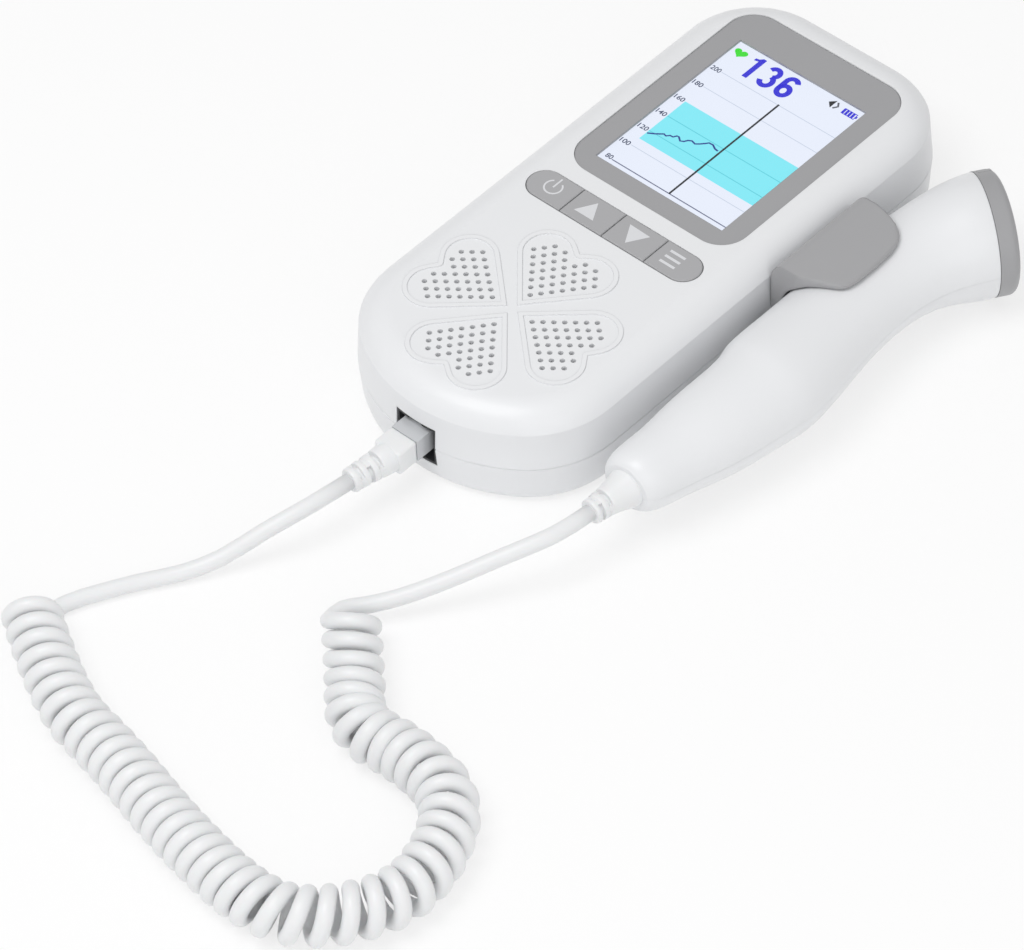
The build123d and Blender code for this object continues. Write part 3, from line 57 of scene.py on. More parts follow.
# ------------------------------------------------------------------ materials
def feed(tree, slot, value):
    """Link an input if the value is a socket, otherwise set it."""
    if isinstance(value, bpy.types.NodeSocket):
        tree.links.new(value, slot)
    else:
        slot.default_value = value


def node(tree, kind, **inputs):
    """A shader node with its named inputs set or linked."""
    made = tree.nodes.new(kind)
    for name, value in inputs.items():
        feed(tree, made.inputs[name], value)
    return made


def maths(tree, operation, a, b):
    """Result of a maths node on two values or sockets."""
    made = tree.nodes.new("ShaderNodeMath")
    made.operation = operation
    feed(tree, made.inputs[0], a)
    feed(tree, made.inputs[1], b)
    return made.outputs[0]


def blended(tree, share, first, second):
    """Colour socket that goes from `first` to `second` as the socket `share` goes from 0 to 1."""
    mix = tree.nodes.new("ShaderNodeMix")
    mix.data_type = "RGBA"
    tree.links.new(share, mix.inputs["Factor"])
    for socket in mix.inputs:
        if socket.type == "RGBA":
            socket.default_value = (*(first if socket.name == "A" else second), 1.0)
    return [socket for socket in mix.outputs if socket.type == "RGBA"][0]


MOTTLE_SCALE = 55.0             # clouds of colour to a metre
GLOSS_SPREAD = 0.04             # how far the roughness goes up and down
GRAIN_DEPTH = 0.04 * MM


def plastic(
    name,
    colour,
    roughness=0.35,
    grain=0.0,
    grain_size=0.6 * MM,
    mottle=0.02,
    edge=0.0,
    coat=0.0,
    metallic=0.0,
    subsurface=0.0,
    specular=0.5,
    alpha=1.0,
    ior=1.47,
):
    """Moulded surface: faint mottling of colour and gloss, and a grain in the bump."""
    material = bpy.data.materials.new(name)
    material.use_nodes = True
    tree = material.node_tree
    tree.nodes.clear()
    output = tree.nodes.new("ShaderNodeOutputMaterial")
    shader = tree.nodes.new("ShaderNodeBsdfPrincipled")
    tree.links.new(shader.outputs["BSDF"], output.inputs["Surface"])
    place = tree.nodes.new("ShaderNodeTexCoord").outputs["Object"]
    cloud = node(tree, "ShaderNodeTexNoise", Vector=place, Scale=MOTTLE_SCALE, Detail=3.0, Roughness=0.55)
    dark = [c * (1 - mottle) for c in colour]
    light = [min(1.0, c * (1 + mottle)) for c in colour]
    tree.links.new(blended(tree, cloud.outputs["Fac"], dark, light), shader.inputs["Base Color"])
    fine = node(tree, "ShaderNodeTexNoise", Vector=place, Scale=1.0 / grain_size, Detail=2.0, Roughness=0.5)
    gloss = node(tree, "ShaderNodeMapRange", Value=fine.outputs["Fac"])
    gloss.inputs["To Min"].default_value = max(0.02, roughness - GLOSS_SPREAD)
    gloss.inputs["To Max"].default_value = roughness + GLOSS_SPREAD
    tree.links.new(gloss.outputs["Result"], shader.inputs["Roughness"])
    normal = None
    if edge:
        bevel = node(tree, "ShaderNodeBevel", Radius=edge)
        bevel.samples = 6
        normal = bevel.outputs["Normal"]
    if grain:
        bump = node(tree, "ShaderNodeBump", Strength=grain, Distance=GRAIN_DEPTH, Height=fine.outputs["Fac"])
        if normal:
            tree.links.new(normal, bump.inputs["Normal"])
        normal = bump.outputs["Normal"]
    if normal:
        tree.links.new(normal, shader.inputs["Normal"])
    shader.inputs["Metallic"].default_value = metallic
    shader.inputs["IOR"].default_value = ior
    shader.inputs["Specular IOR Level"].default_value = specular
    shader.inputs["Coat Weight"].default_value = coat
    shader.inputs["Coat Roughness"].default_value = 0.08
    shader.inputs["Subsurface Weight"].default_value = subsurface
    shader.inputs["Subsurface Scale"].default_value = 2 * MM
    shader.inputs["Alpha"].default_value = alpha
    return material


def lit(name, colour):
    """Part of the lit picture: the colour glows, a little unevenly, and nothing shines on it."""
    material = bpy.data.materials.new(name)
    material.use_nodes = True
    tree = material.node_tree
    shader = tree.nodes["Principled BSDF"]
    place = tree.nodes.new("ShaderNodeTexCoord").outputs["Object"]
    cells = node(tree, "ShaderNodeTexNoise", Vector=place, Scale=90.0, Detail=1.0)
    dim = [c * 0.985 for c in colour]
    tree.links.new(blended(tree, cells.outputs["Fac"], dim, colour), shader.inputs["Emission Color"])
    shader.inputs["Emission Strength"].default_value = 1.0
    shader.inputs["Base Color"].default_value = (0.02, 0.02, 0.02, 1.0)
    shader.inputs["Roughness"].default_value = 0.25
    shader.inputs["Specular IOR Level"].default_value = 0.0
    return material


def tint(red, green, blue):
    """A display colour, 0 to 255, as the linear colour that renders to it."""
    return tuple(
        c / 12.92 if c <= 0.04045 else ((c + 0.055) / 1.055) ** 2.4
        for c in (red / 255, green / 255, blue / 255)
    )


TRIM = {"roughness": 0.42, "grain": 0.25, "grain_size": 0.3 * MM, "mottle": 0.015, "edge": 0.3 * MM}
WHITE = plastic("housing_white", tint(236, 237, 239), roughness=0.36, grain=0.05, mottle=0.006,
                edge=0.25 * MM, coat=0.06)
GREY = plastic("trim_grey", tint(164, 164, 166), **TRIM)
KEY_GREY = plastic("key_grey", tint(174, 174, 176), **TRIM)
CLIP_GREY = plastic("clip_grey", tint(168, 168, 170), **{**TRIM, "roughness": 0.45, "edge": 0.9 * MM})
CORD = plastic("cord_white", tint(237, 238, 239), roughness=0.34, grain=0.06, grain_size=0.8 * MM,
               mottle=0.01, subsurface=0.03)
DARK = plastic("socket_dark", tint(46, 47, 50), roughness=0.5, grain=0.2, mottle=0.1)
BLACK = plastic("black_plastic", tint(30, 30, 32), roughness=0.55, grain=0.2, mottle=0.1)
INNER = plastic("inner_plastic", tint(150, 151, 154), roughness=0.6, grain=0.2, mottle=0.04)
STEEL = plastic("steel", tint(176, 177, 180), roughness=0.3, grain=0.2, mottle=0.06, metallic=1.0)
GOLD = plastic("gold", tint(214, 178, 96), roughness=0.25, mottle=0.05, metallic=1.0)
BOARD = plastic("solder_mask", tint(22, 92, 58), roughness=0.35, grain=0.2, mottle=0.15)
SLEEVE = plastic("cell_sleeve", tint(70, 76, 88), roughness=0.3, mottle=0.08, metallic=0.6)
# The speaker cloth's grey is darkened to paint the shade deep in the grille's holes.
CLOTH_AND_HOLE_SHADE = plastic("speaker_cloth", tint(118, 118, 120), roughness=0.95, grain=1.0, grain_size=0.25 * MM,
                mottle=0.08)
FILM = plastic("cone_film", tint(60, 60, 64), roughness=0.5, mottle=0.1)
MAGNET = plastic("magnet", tint(60, 60, 62), roughness=0.4, mottle=0.1, metallic=0.8)
PLUG = plastic("plug_plastic", tint(202, 204, 207), roughness=0.2, grain=0.1, mottle=0.03,
               edge=0.15 * MM, coat=0.2)
FACE = plastic("probe_face", tint(205, 206, 208), roughness=0.5, grain=0.2, mottle=0.02, edge=0.4 * MM)
CERAMIC = plastic("ceramic", tint(206, 196, 172), roughness=0.7, grain=0.4, mottle=0.05)
BACKING = plastic("backing", tint(52, 52, 55), roughness=0.8, grain=0.6, mottle=0.1)
KEY_PRINT = plastic("key_print", tint(222, 223, 226), roughness=0.4, mottle=0.02)
GLASS = plastic("window_clear", (0.93, 0.95, 0.97), roughness=0.06, mottle=0.0,
                alpha=0.02, ior=1.49, specular=0.25)

FINISHES = {
    "housing_white": WHITE,
    "trim_grey": GREY,
    "window_clear": GLASS,
    "display": BLACK,
    "inner_plastic": INNER,
    "switch_black": BLACK,
    "cell_sleeve": SLEEVE,
    "spring_steel": STEEL,
    "screw_steel": STEEL,
    "speaker_cloth": CLOTH_AND_HOLE_SHADE,
    "speaker_metal": STEEL,
    "cone_film": FILM,
    "magnet": MAGNET,
    "board_green": BOARD,
    "chip_black": BLACK,
    "socket_dark": DARK,
    "contact_gold": GOLD,
    "plug_clear": PLUG,
    "cord_white": CORD,
    "probe_face": FACE,
    "ceramic": CERAMIC,
    "backing": BACKING,
    "mark": GREY,
}
for part in frame["record"]["subparts"]:
    piece = frame["nodes"][part["node"]]
    piece.data.materials.clear()
    piece.data.materials.append(FINISHES[part["material_slot"]])
for key in ("power_key", "up_key", "down_key", "menu_key"):
    frame["nodes"][key].data.materials[0] = KEY_GREY


# ------------------------------------------------------------------ mesh helpers
def finish_piece(name, mesh, material, body, smooth=True):
    """Put a mesh in the scene as a piece that rides on a body, or on none yet."""
    mesh.materials.append(material)
    if smooth:
        for face in mesh.polygons:
            face.use_smooth = True
    piece = bpy.data.objects.new(name, mesh)
    bpy.context.scene.collection.objects.link(piece)
    if body:
        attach(piece, body)
    return piece


def meshed(name, work):
    """Mesh of the finished work, which is freed."""
    mesh = bpy.data.meshes.new(name)
    work.to_mesh(mesh)
    work.free()
    return mesh


def skin(work, rings):
    """Faces between rings of vertices that each run round once, with both ends closed."""
    for ring, following in zip(rings, rings[1:]):
        for k in range(len(ring)):
            j = (k + 1) % len(ring)
            work.faces.new((ring[k], ring[j], following[j], following[k]))
    work.faces.new(list(reversed(rings[0])))
    work.faces.new(rings[-1])
    bmesh.ops.recalc_face_normals(work, faces=work.faces)


def nurbs_points(points, resolution):
    """Points along the smooth open NURBS that has `points` as its control points."""
    curve = bpy.data.curves.new("route", "CURVE")
    curve.dimensions = "3D"
    spline = curve.splines.new("NURBS")
    spline.points.add(len(points) - 1)
    for at, place in zip(spline.points, points):
        at.co = (*place, 1.0)
    spline.order_u = 3
    spline.use_endpoint_u = True
    curve.resolution_u = resolution
    carrier = bpy.data.objects.new("route", curve)
    bpy.context.scene.collection.objects.link(carrier)
    bpy.context.view_layer.update()
    mesh = bpy.data.meshes.new_from_object(carrier)
    line = [v.co.copy() for v in mesh.vertices]
    bpy.data.objects.remove(carrier)
    bpy.data.meshes.remove(mesh)
    return line


def along(line):
    """Distance from the line's start to each of its points."""
    reach = [0.0]
    for a, b in zip(line, line[1:]):
        reach.append(reach[-1] + (b - a).length)
    return reach


def tube_mesh(name, line, radius, sides):
    """Round tube along a line, its rings turned as little as the line allows, ends closed."""
    work = bmesh.new()
    rings = []
    ahead = (line[1] - line[0]).normalized()
    aside = ahead.orthogonal().normalized()
    for i, place in enumerate(line):
        before, after = line[max(i - 1, 0)], line[min(i + 1, len(line) - 1)]
        new_ahead = (after - before).normalized()
        aside = (aside - new_ahead * aside.dot(new_ahead)).normalized()
        other = new_ahead.cross(aside)
        rings.append([
            work.verts.new(place + radius * (math.cos(a) * aside + math.sin(a) * other))
            for a in (2 * math.pi * k / sides for k in range(sides))
        ])
    skin(work, rings)
    return meshed(name, work)


BRIDGE = 0.86                   # cosine at which a slot stops and its bridge begins


def sleeve(work, start, turned, rows, sides=64):
    """Turned sleeve from `start` towards -Y, `turned` degrees to -X, in millimetres.

    A row is (distance, radius) or, in a slot, (distance, radius, depth, quarter): the slot is
    cut to `depth` all round but for two bridges, on the sides that `quarter` picks.
    """
    ahead = Vector((-math.sin(math.radians(turned)), -math.cos(math.radians(turned)), 0))
    aside = Vector((-ahead.y, ahead.x, 0))
    rings = []
    for distance, radius, *slot in rows:
        ring = []
        for k in range(sides):
            a = 2 * math.pi * k / sides
            reach = radius
            if slot and abs(math.cos(a + slot[1] * math.pi / 2)) < BRIDGE:
                reach = slot[0]
            outward = math.cos(a) * aside + math.sin(a) * Vector((0, 0, 1))
            ring.append(work.verts.new(MM * (Vector(start) + distance * ahead + reach * outward)))
        rings.append(ring)
    skin(work, rings)


def plate(name, outlines, top, thick, material, body):
    """Thin flat plates, one per outline (millimetres), with their upper faces at height `top`."""
    work = bmesh.new()
    for outline in outlines:
        upper = [work.verts.new((x * MM, y * MM, top * MM)) for x, y in outline]
        lower = [work.verts.new((x * MM, y * MM, (top - thick) * MM)) for x, y in outline]
        work.faces.new(upper)
        work.faces.new(list(reversed(lower)))
        for i in range(len(outline)):
            j = (i + 1) % len(outline)
            work.faces.new((upper[i], lower[i], lower[j], upper[j]))
    bmesh.ops.recalc_face_normals(work, faces=work.faces)
    return finish_piece(name, meshed(name, work), material, body, smooth=False)


def bar(x0, y0, x1, y1):
    """Upright rectangle."""
    return [(x0, y0), (x1, y0), (x1, y1), (x0, y1)]


def stroke(points, width):
    """Outline of a line of even width through the points."""
    left, right = [], []
    for i, (x, y) in enumerate(points):
        ax, ay = points[max(i - 1, 0)]
        bx, by = points[min(i + 1, len(points) - 1)]
        span = math.hypot(bx - ax, by - ay)
        nx, ny = -(by - ay) / span * width / 2, (bx - ax) / span * width / 2
        left.append((x + nx, y + ny))
        right.append((x - nx, y - ny))
    return left + right[::-1]


def arc(x, y, rx, ry, start, end, steps=18):
    """Points of an upright ellipse about (x, y), from one angle to another in degrees."""
    return [
        (x + rx * math.cos(a), y + ry * math.sin(a))
        for a in (math.radians(start + (end - start) * i / steps) for i in range(steps + 1))
    ]


def lettering(name, text, box, top, thick, material, body, weight):
    """Numerals filling a box (x0, y0, x1, y1 in millimetres), upper face at height `top`."""
    curve = bpy.data.curves.new(name, "FONT")
    curve.body = text
    curve.offset = weight
    curve.extrude = 0.01        # any thickness will do, the box sets the real one
    carrier = bpy.data.objects.new(name, curve)
    bpy.context.scene.collection.objects.link(carrier)
    bpy.context.view_layer.update()
    mesh = bpy.data.meshes.new_from_object(carrier)
    bpy.data.objects.remove(carrier)
    low = [min(v.co[i] for v in mesh.vertices) for i in range(3)]
    high = [max(v.co[i] for v in mesh.vertices) for i in range(3)]
    x0, y0, x1, y1 = box
    for v in mesh.vertices:
        share = [(v.co[i] - low[i]) / (high[i] - low[i]) for i in range(3)]
        v.co = (
            (x0 + (x1 - x0) * share[0]) * MM,
            (y0 + (y1 - y0) * share[1]) * MM,
            (top - thick + thick * share[2]) * MM,
        )
    return finish_piece(name, mesh, material, body, smooth=False)


# ------------------------------------------------------------------ picture on the display
LAYER = 0.014                   # millimetres between the layers of the picture
PICTURE_Z = 24.215              # upper face of the lowest layer
LEVELS = [PICTURE_Z + LAYER * i for i in range(6)]
PAPER = lit("picture_paper", tint(232, 238, 252))
BAND = lit("picture_band", tint(128, 233, 246))
GRID = lit("picture_grid", tint(198, 208, 226))
BAND_GRID = lit("picture_band_grid", tint(92, 205, 220))
SCALE = lit("picture_scale", tint(60, 70, 100))
INK = lit("picture_ink", tint(38, 30, 212))
TRACE = lit("picture_trace", tint(24, 52, 140))
BLACK_INK = lit("picture_black", tint(16, 18, 26))
BASE = lit("picture_base", tint(104, 110, 138))
WAVES = lit("picture_waves", tint(92, 94, 104))
GREEN = lit("picture_green", tint(51, 221, 34))
# height of each number of the scale, and of its line, on the picture
SCALE_LINES = {200: 45.75, 180: 39.5, 160: 33.25, 140: 27.05, 120: 20.85, 100: 14.75, 80: 8.9}
BAND_BOX = (-15.85, 17.5, 17.9, 33.2)
NUMERAL_RISE = 0.72             # half the height of the scale's numerals
GRID_RISE, BAND_GRID_RISE = 0.1, 0.12       # and of the lines


def picture(name, outlines, level, material):
    """A piece of the picture, on one of its levels."""
    plate(name, outlines, LEVELS[level], LAYER / 2, material, "housing")


picture("picture_paper", [bar(-20.0, 5.2, 20.0, 57.6)], 0, PAPER)
picture("picture_band", [bar(*BAND_BOX)], 1, BAND)
grid_left, grid_right = BAND_BOX[0], BAND_BOX[2]
grid_lines = [SCALE_LINES[value] for value in (200, 180, 100)]
band_lines = [SCALE_LINES[value] for value in (140, 120)]
picture("picture_grid", [
    bar(-15.9, y - GRID_RISE, grid_right, y + GRID_RISE) for y in grid_lines
], 2, GRID)
picture("picture_band_grid", [
    bar(grid_left, y - BAND_GRID_RISE, grid_right, y + BAND_GRID_RISE) for y in band_lines
], 2, BAND_GRID)
picture("picture_base", [bar(-16.0, 8.3, grid_right, 8.6)], 2, BASE)
for value, y in SCALE_LINES.items():
    left = -18.9 if value >= 100 else -18.0
    box = (left, y - NUMERAL_RISE, -16.15, y + NUMERAL_RISE)
    name = f"picture_scale_{value}"
    lettering(name, str(value), box, LEVELS[3], LAYER / 2, SCALE, "housing", 0.016)
STEM = 1.35                     # width of the large numerals' strokes
picture("picture_rate_1", [
    [(-12.9, 53.45), (-11.75, 53.75), (-11.75, 47.8), (-10.4, 47.8), (-10.4, 55.2), (-11.3, 55.2),
     (-12.0, 54.45), (-12.9, 54.25)],
], 3, INK)
picture("picture_rate_3", [
    stroke(arc(-6.45, 53.15, 1.3, 1.4, 165, -75), STEM), stroke(arc(-6.35, 50.1, 1.48, 1.7, 82, -165), STEM),
], 3, INK)
picture("picture_rate_6", [
    stroke(arc(-1.3, 53.1, 1.4, 1.45, 22, 180) + [(-2.7, 51.6), (-2.7, 50.0)], STEM),
    stroke(arc(-1.3, 50.05, 1.4, 1.65, -5, 185), STEM), stroke(arc(-1.3, 50.05, 1.4, 1.65, 175, 365), STEM),
], 3, INK)
HEART_X, HEART_Y, HEART_WIDE, HEART_HIGH = -16.7, 53.25, 1.78, 1.4
CURVE_HIGH = 14.5               # half height of the heart curve below
heart = []
for i in range(40):
    a = 2 * math.pi * i / 40
    height = 13 * math.cos(a) - 5 * math.cos(2 * a) - 2 * math.cos(3 * a) - math.cos(4 * a)
    heart.append((HEART_X + HEART_WIDE * math.sin(a) ** 3, HEART_Y + height * HEART_HIGH / CURVE_HIGH))
picture("picture_heart", [heart], 3, GREEN)
TRACE_POINTS = [
    (-15.60, 19.88), (-15.03, 20.24), (-14.06, 20.84), (-13.16, 21.52), (-12.48, 22.10), (-11.71, 21.90),
    (-11.13, 22.60), (-10.29, 22.67), (-9.82, 23.49), (-9.27, 23.54), (-8.24, 22.71), (-7.45, 23.16),
    (-6.98, 23.98), (-6.19, 24.44), (-5.04, 24.14), (-4.18, 24.86), (-3.26, 25.85), (-2.86, 26.41),
    (-1.75, 26.50), (-0.56, 25.81), (0.4, 25.7),
]
picture("picture_trace", [stroke(TRACE_POINTS, 0.46)], 4, TRACE)
picture("picture_cursor", [bar(0.8, 8.4, 1.3, 45.95)], 5, BLACK_INK)
picture("picture_sound", [[(8.9, 54.0), (10.3, 52.6), (10.3, 55.4)]], 3, BLACK_INK)
picture("picture_waves", [stroke([(10.85, 55.1), (11.6, 54.0), (10.85, 52.9)], 0.5)], 3, WAVES)
picture("picture_battery", [
    bar(13.2, 52.9, 16.9, 53.1), bar(13.2, 54.6, 16.9, 54.8),
    bar(16.7, 53.1, 16.9, 54.6), bar(16.9, 53.5, 17.25, 54.2),
    *[[(13.2 + x, 53.1), (13.85 + x, 53.1), (13.75 + x, 54.6), (13.1 + x, 54.6)]
      for x in (0.86 * i for i in range(4))],
], 3, INK)

# ------------------------------------------------------------------ marks on the keys
KEY_Z = 26.25                   # upper face of the keys
PRINT = 0.02                    # thickness of a printed mark
POWER_X, POWER_Y, POWER_RADIUS = -18.6, -8.1, 2.1
POWER_LINE = 0.42               # width of the power sign's lines
power_ring = arc(POWER_X, POWER_Y, POWER_RADIUS, POWER_RADIUS, 125, 415, 40)
power_bar = bar(POWER_X - POWER_LINE / 2, POWER_Y - 0.1, POWER_X + POWER_LINE / 2, -5.0)
for key, outlines in (
    ("power", [stroke(power_ring, POWER_LINE), power_bar]),
    ("up", [[(-10.4, -10.4), (-4.8, -10.4), (-7.5, -5.5)]]),
    ("down", [[(2.3, -5.9), (5.2, -11.0), (8.3, -6.1)]]),
    ("menu", [bar(14.5, y - 0.35, 18.8, y + 0.35) for y in (-10.0, -8.15, -6.3)]),
):
    plate(f"{key}_mark", outlines, KEY_Z + PRINT, PRINT, KEY_PRINT, f"{key}_key")

# ------------------------------------------------------------------ lead
CORD_DIAMETER = 3.8 * MM
COIL_RADIUS = 4.7 * MM          # of the turns' centreline
COIL_HEIGHT = 6.7 * MM          # of its axis above the table
POINTS_PER_TURN = 16
# control points in millimetres, from the plug to the coil and from the coil to the probe
UNIT_ROUTE = [
    (-1.39, -92.5, 11.9), (-2.98, -104.3, 11.9), (-7.6, -113.8, 8.8), (-12.4, -122.6, 3.6),
    (-17.3, -130.6, 2.0), (-22.6, -138.0, 2.0), (-27.0, -146.0, 2.0), (-30.2, -152.2, 2.0),
]
PROBE_ROUTE = [
    (17.8, -116.9, 5.0), (20.8, -113.4, 4.9), (24.0, -109.4, 5.3), (27.7, -104.6, 6.6), (32.7, -97.3, 8.8),
    (38.0, -88.8, 11.7), (42.95, -81.2, 14.0), (45.2, -74.7, 14.6), (45.9, -67.4, 14.6),
]
# the coil's own axis on the table
COIL_ROUTE = [
    (-37.3, -157.4), (-10.0, -175.4), (12.4, -178.8), (34.8, -184.7), (60.4, -188.5), (72.8, -183.7),
    (82.9, -168.6), (81.0, -153.5), (72.9, -140.8), (56.9, -138.4), (44.0, -140.5), (34.4, -129.9),
    (19.0, -115.4),
]
# along the coil in millimetres: how far apart its turns are, and how many degrees they lean
PITCHES = [
    (0, 4.8), (40, 4.65), (55, 4.4), (70, 4.1), (100, 3.95), (103, 4.2), (108, 5.1), (130, 5.05),
    (148, 4.8), (170, 4.9), (178, 4.35), (196, 4.0), (201, 5.2), (208, 5.7), (230, 5.35),
]
LEANS = [
    (0, 8), (30, 3), (60, -9), (90, 1), (110, 10), (125, 5), (140, -3), (155, -1), (165, 8), (175, 11),
    (185, 2), (195, -6), (202, -21), (210, -37), (230, -39),
]
COIL_SPAN = (7.3, 221.7)        # millimetres along the axis at which the first turn begins and the last ends
FIRST_ANGLE, LAST_ANGLE = -90.0, 200.0      # degrees round the axis at which they do


def interpolate(table, at):
    """Value at `at` of a table of (place, value) pairs in rising order."""
    for (low, low_value), (high, high_value) in zip(table, table[1:]):
        if at <= high:
            share = (at - low) / (high - low)
            return low_value + (high_value - low_value) * share
    return table[-1][1]


def coil_points():
    """Control points of the coiled stretch: turns about the coil's own smooth axis."""
    axis = nurbs_points([Vector((x * MM, y * MM, COIL_HEIGHT)) for x, y in COIL_ROUTE], 24)
    reach = along(axis)
    steps = 2000                # places along the axis at which the turns so far are counted
    places = [COIL_SPAN[0] + (COIL_SPAN[1] - COIL_SPAN[0]) * i / steps for i in range(steps + 1)]
    turns = [0.0]
    for a, b in zip(places, places[1:]):
        turns.append(turns[-1] + (b - a) / interpolate(PITCHES, (a + b) / 2))
    # the turns are stretched a little so that the last one ends at its angle
    part_turn = (LAST_ANGLE - FIRST_ANGLE) / 360
    whole = round(turns[-1] - part_turn) + part_turn
    stretch = whole / turns[-1]
    print("coil turns", round(whole, 2))
    points = []
    # a NURBS of the second degree runs inside its control points, so these stand a little further out
    radius = COIL_RADIUS / (0.75 + 0.25 * math.cos(2 * math.pi / POINTS_PER_TURN))
    count = round(whole * POINTS_PER_TURN)
    j = 0
    for i in range(count + 1):
        turn = whole * i / count
        while j < steps - 1 and turns[j + 1] * stretch < turn:
            j += 1
        share = min(1.0, (turn / stretch - turns[j]) / (turns[j + 1] - turns[j]))
        place = places[j] + share * (places[j + 1] - places[j])
        distance = min(place * MM, reach[-1])
        k = max(m for m in range(len(reach) - 1) if reach[m] <= distance)
        centre = axis[k].lerp(axis[k + 1], min(1.0, (distance - reach[k]) / (reach[k + 1] - reach[k])))
        # over five of the axis's points, so that its bends stay smooth
        tangent = (axis[min(k + 3, len(axis) - 1)] - axis[max(k - 2, 0)]).normalized()
        side = tangent.cross(Vector((0, 0, 1)))
        angle = math.radians(FIRST_ANGLE) + 2 * math.pi * turn
        lean = COIL_RADIUS * math.tan(math.radians(interpolate(LEANS, place))) * math.sin(angle)
        outward = math.cos(angle) * side + math.sin(angle) * Vector((0, 0, 1))
        points.append(centre + radius * outward + lean * tangent)
    return points


cord_route = [Vector(p) * MM for p in UNIT_ROUTE] + coil_points() + [Vector(p) * MM for p in PROBE_ROUTE]
cord_line = nurbs_points(cord_route, 2)
cord = finish_piece("lead", tube_mesh("lead", cord_line, CORD_DIAMETER / 2, 16), CORD, None)
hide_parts("lead_to_unit", "cord_coil", "lead_to_probe")
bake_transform(cord)

# ------------------------------------------------------------------ sleeves on the lead's ends
SLEEVE_CREASE = math.radians(35)    # edges sharper than this stay crisp
work = bmesh.new()
sleeve(work, (46.9, -57.9, 14.6), 6.0, [
    (-2.4, 4.2), (-0.4, 4.6), (0.0, 4.7), (0.35, 4.62), (1.0, 4.45), (3.0, 3.9), (5.0, 3.45), (6.1, 3.3),
    (6.25, 3.2), (6.28, 3.2, 2.2, 0), (7.22, 3.2, 2.2, 0), (7.25, 3.12), (7.4, 3.2), (8.35, 3.1),
    (8.5, 3.02), (8.53, 3.05, 2.1, 1), (9.32, 3.05, 2.1, 1), (9.35, 2.95), (9.5, 3.02), (10.2, 2.95),
    (10.4, 2.8), (10.45, 1.5),
])
probe_sleeve = finish_piece("probe_sleeve", meshed("probe_sleeve", work), CORD, "probe")
probe_sleeve.data.set_sharp_from_angle(angle=SLEEVE_CREASE)
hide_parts("probe_boot")

GRIP_SIZE = (7.5, 5.7, 6.3)     # block behind the plug, from which its sleeve grows
GRIP_CENTRE = (0.0, -80.25, 11.9)
work = bmesh.new()
for v in bmesh.ops.create_cube(work, size=1.0)["verts"]:
    v.co = [(GRIP_CENTRE[i] + v.co[i] * GRIP_SIZE[i]) * MM for i in range(3)]
bmesh.ops.bevel(work, geom=list(work.edges), offset=0.7 * MM, segments=4, profile=0.5, affect="EDGES")
sleeve(work, (0.0, -82.6, 11.9), 8.0, [
    (0.0, 3.6), (1.4, 3.55), (3.2, 3.35), (3.4, 3.25), (3.43, 3.25, 2.1, 0), (4.55, 3.25, 2.1, 0),
    (4.58, 3.12), (4.75, 3.22), (5.75, 3.14), (5.9, 3.05), (5.93, 3.08, 2.05, 1), (7.0, 3.08, 2.05, 1),
    (7.03, 2.98), (7.2, 3.06), (8.15, 3.0), (8.3, 2.9), (8.33, 2.95, 2.0, 0), (9.3, 2.95, 2.0, 0),
    (9.33, 2.85), (9.5, 2.92), (10.5, 2.85), (10.8, 2.65), (10.85, 1.5),
])
plug_sleeve = finish_piece("plug_sleeve", meshed("plug_sleeve", work), CORD, "housing")
plug_sleeve.data.set_sharp_from_angle(angle=SLEEVE_CREASE)
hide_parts("plug_boot")

# ------------------------------------------------------------------ clip over the probe
PROBE_X, PROBE_Z = 48.7, 14.6       # middle of the probe under the clip
HOLLOW_X, HOLLOW_Z = 12.3, 10.25    # half width and height of the hollow that clears it
BACK_X, INNER_X = 33.2, 35.8        # the clip's back, against the casing, and the inside of its wall
ROOT_X = 36.42                      # where the hollow meets that inside
FOOT_X, FOOT_LOW, FOOT_HIGH = 45.0, 2.7, 4.4    # the foot's edge and its two faces
SHOULDER_X, SHOULDER_Z = 37.6, 21.2     # middle of the round shoulder over the wall
SHOULDER_WIDE = 4.1
TOP_Z, DROOP = 26.6, 0.55           # upper face, and how far it falls towards the tip
DROOP_X, DROOP_WIDE = 43.0, 8.5     # where it starts to fall, and over what width
TIP = 0.5                           # radius of the tongue's rounded tip, across the clip
CLIP_CREASE = math.radians(50)
# how far out the tongue reaches at each place along the case
TONGUE = [
    (5.2, 41.0), (5.6, 42.3), (6.2, 43.7), (7.0, 45.6), (7.8, 47.3), (8.6, 48.9), (9.5, 50.1), (11.0, 51.0),
    (13.5, 51.4), (19.5, 51.5), (25.0, 51.3), (27.5, 50.8), (29.3, 50.0), (30.8, 48.7), (31.8, 47.2),
    (32.6, 45.2), (33.3, 42.8), (33.8, 40.6),
]


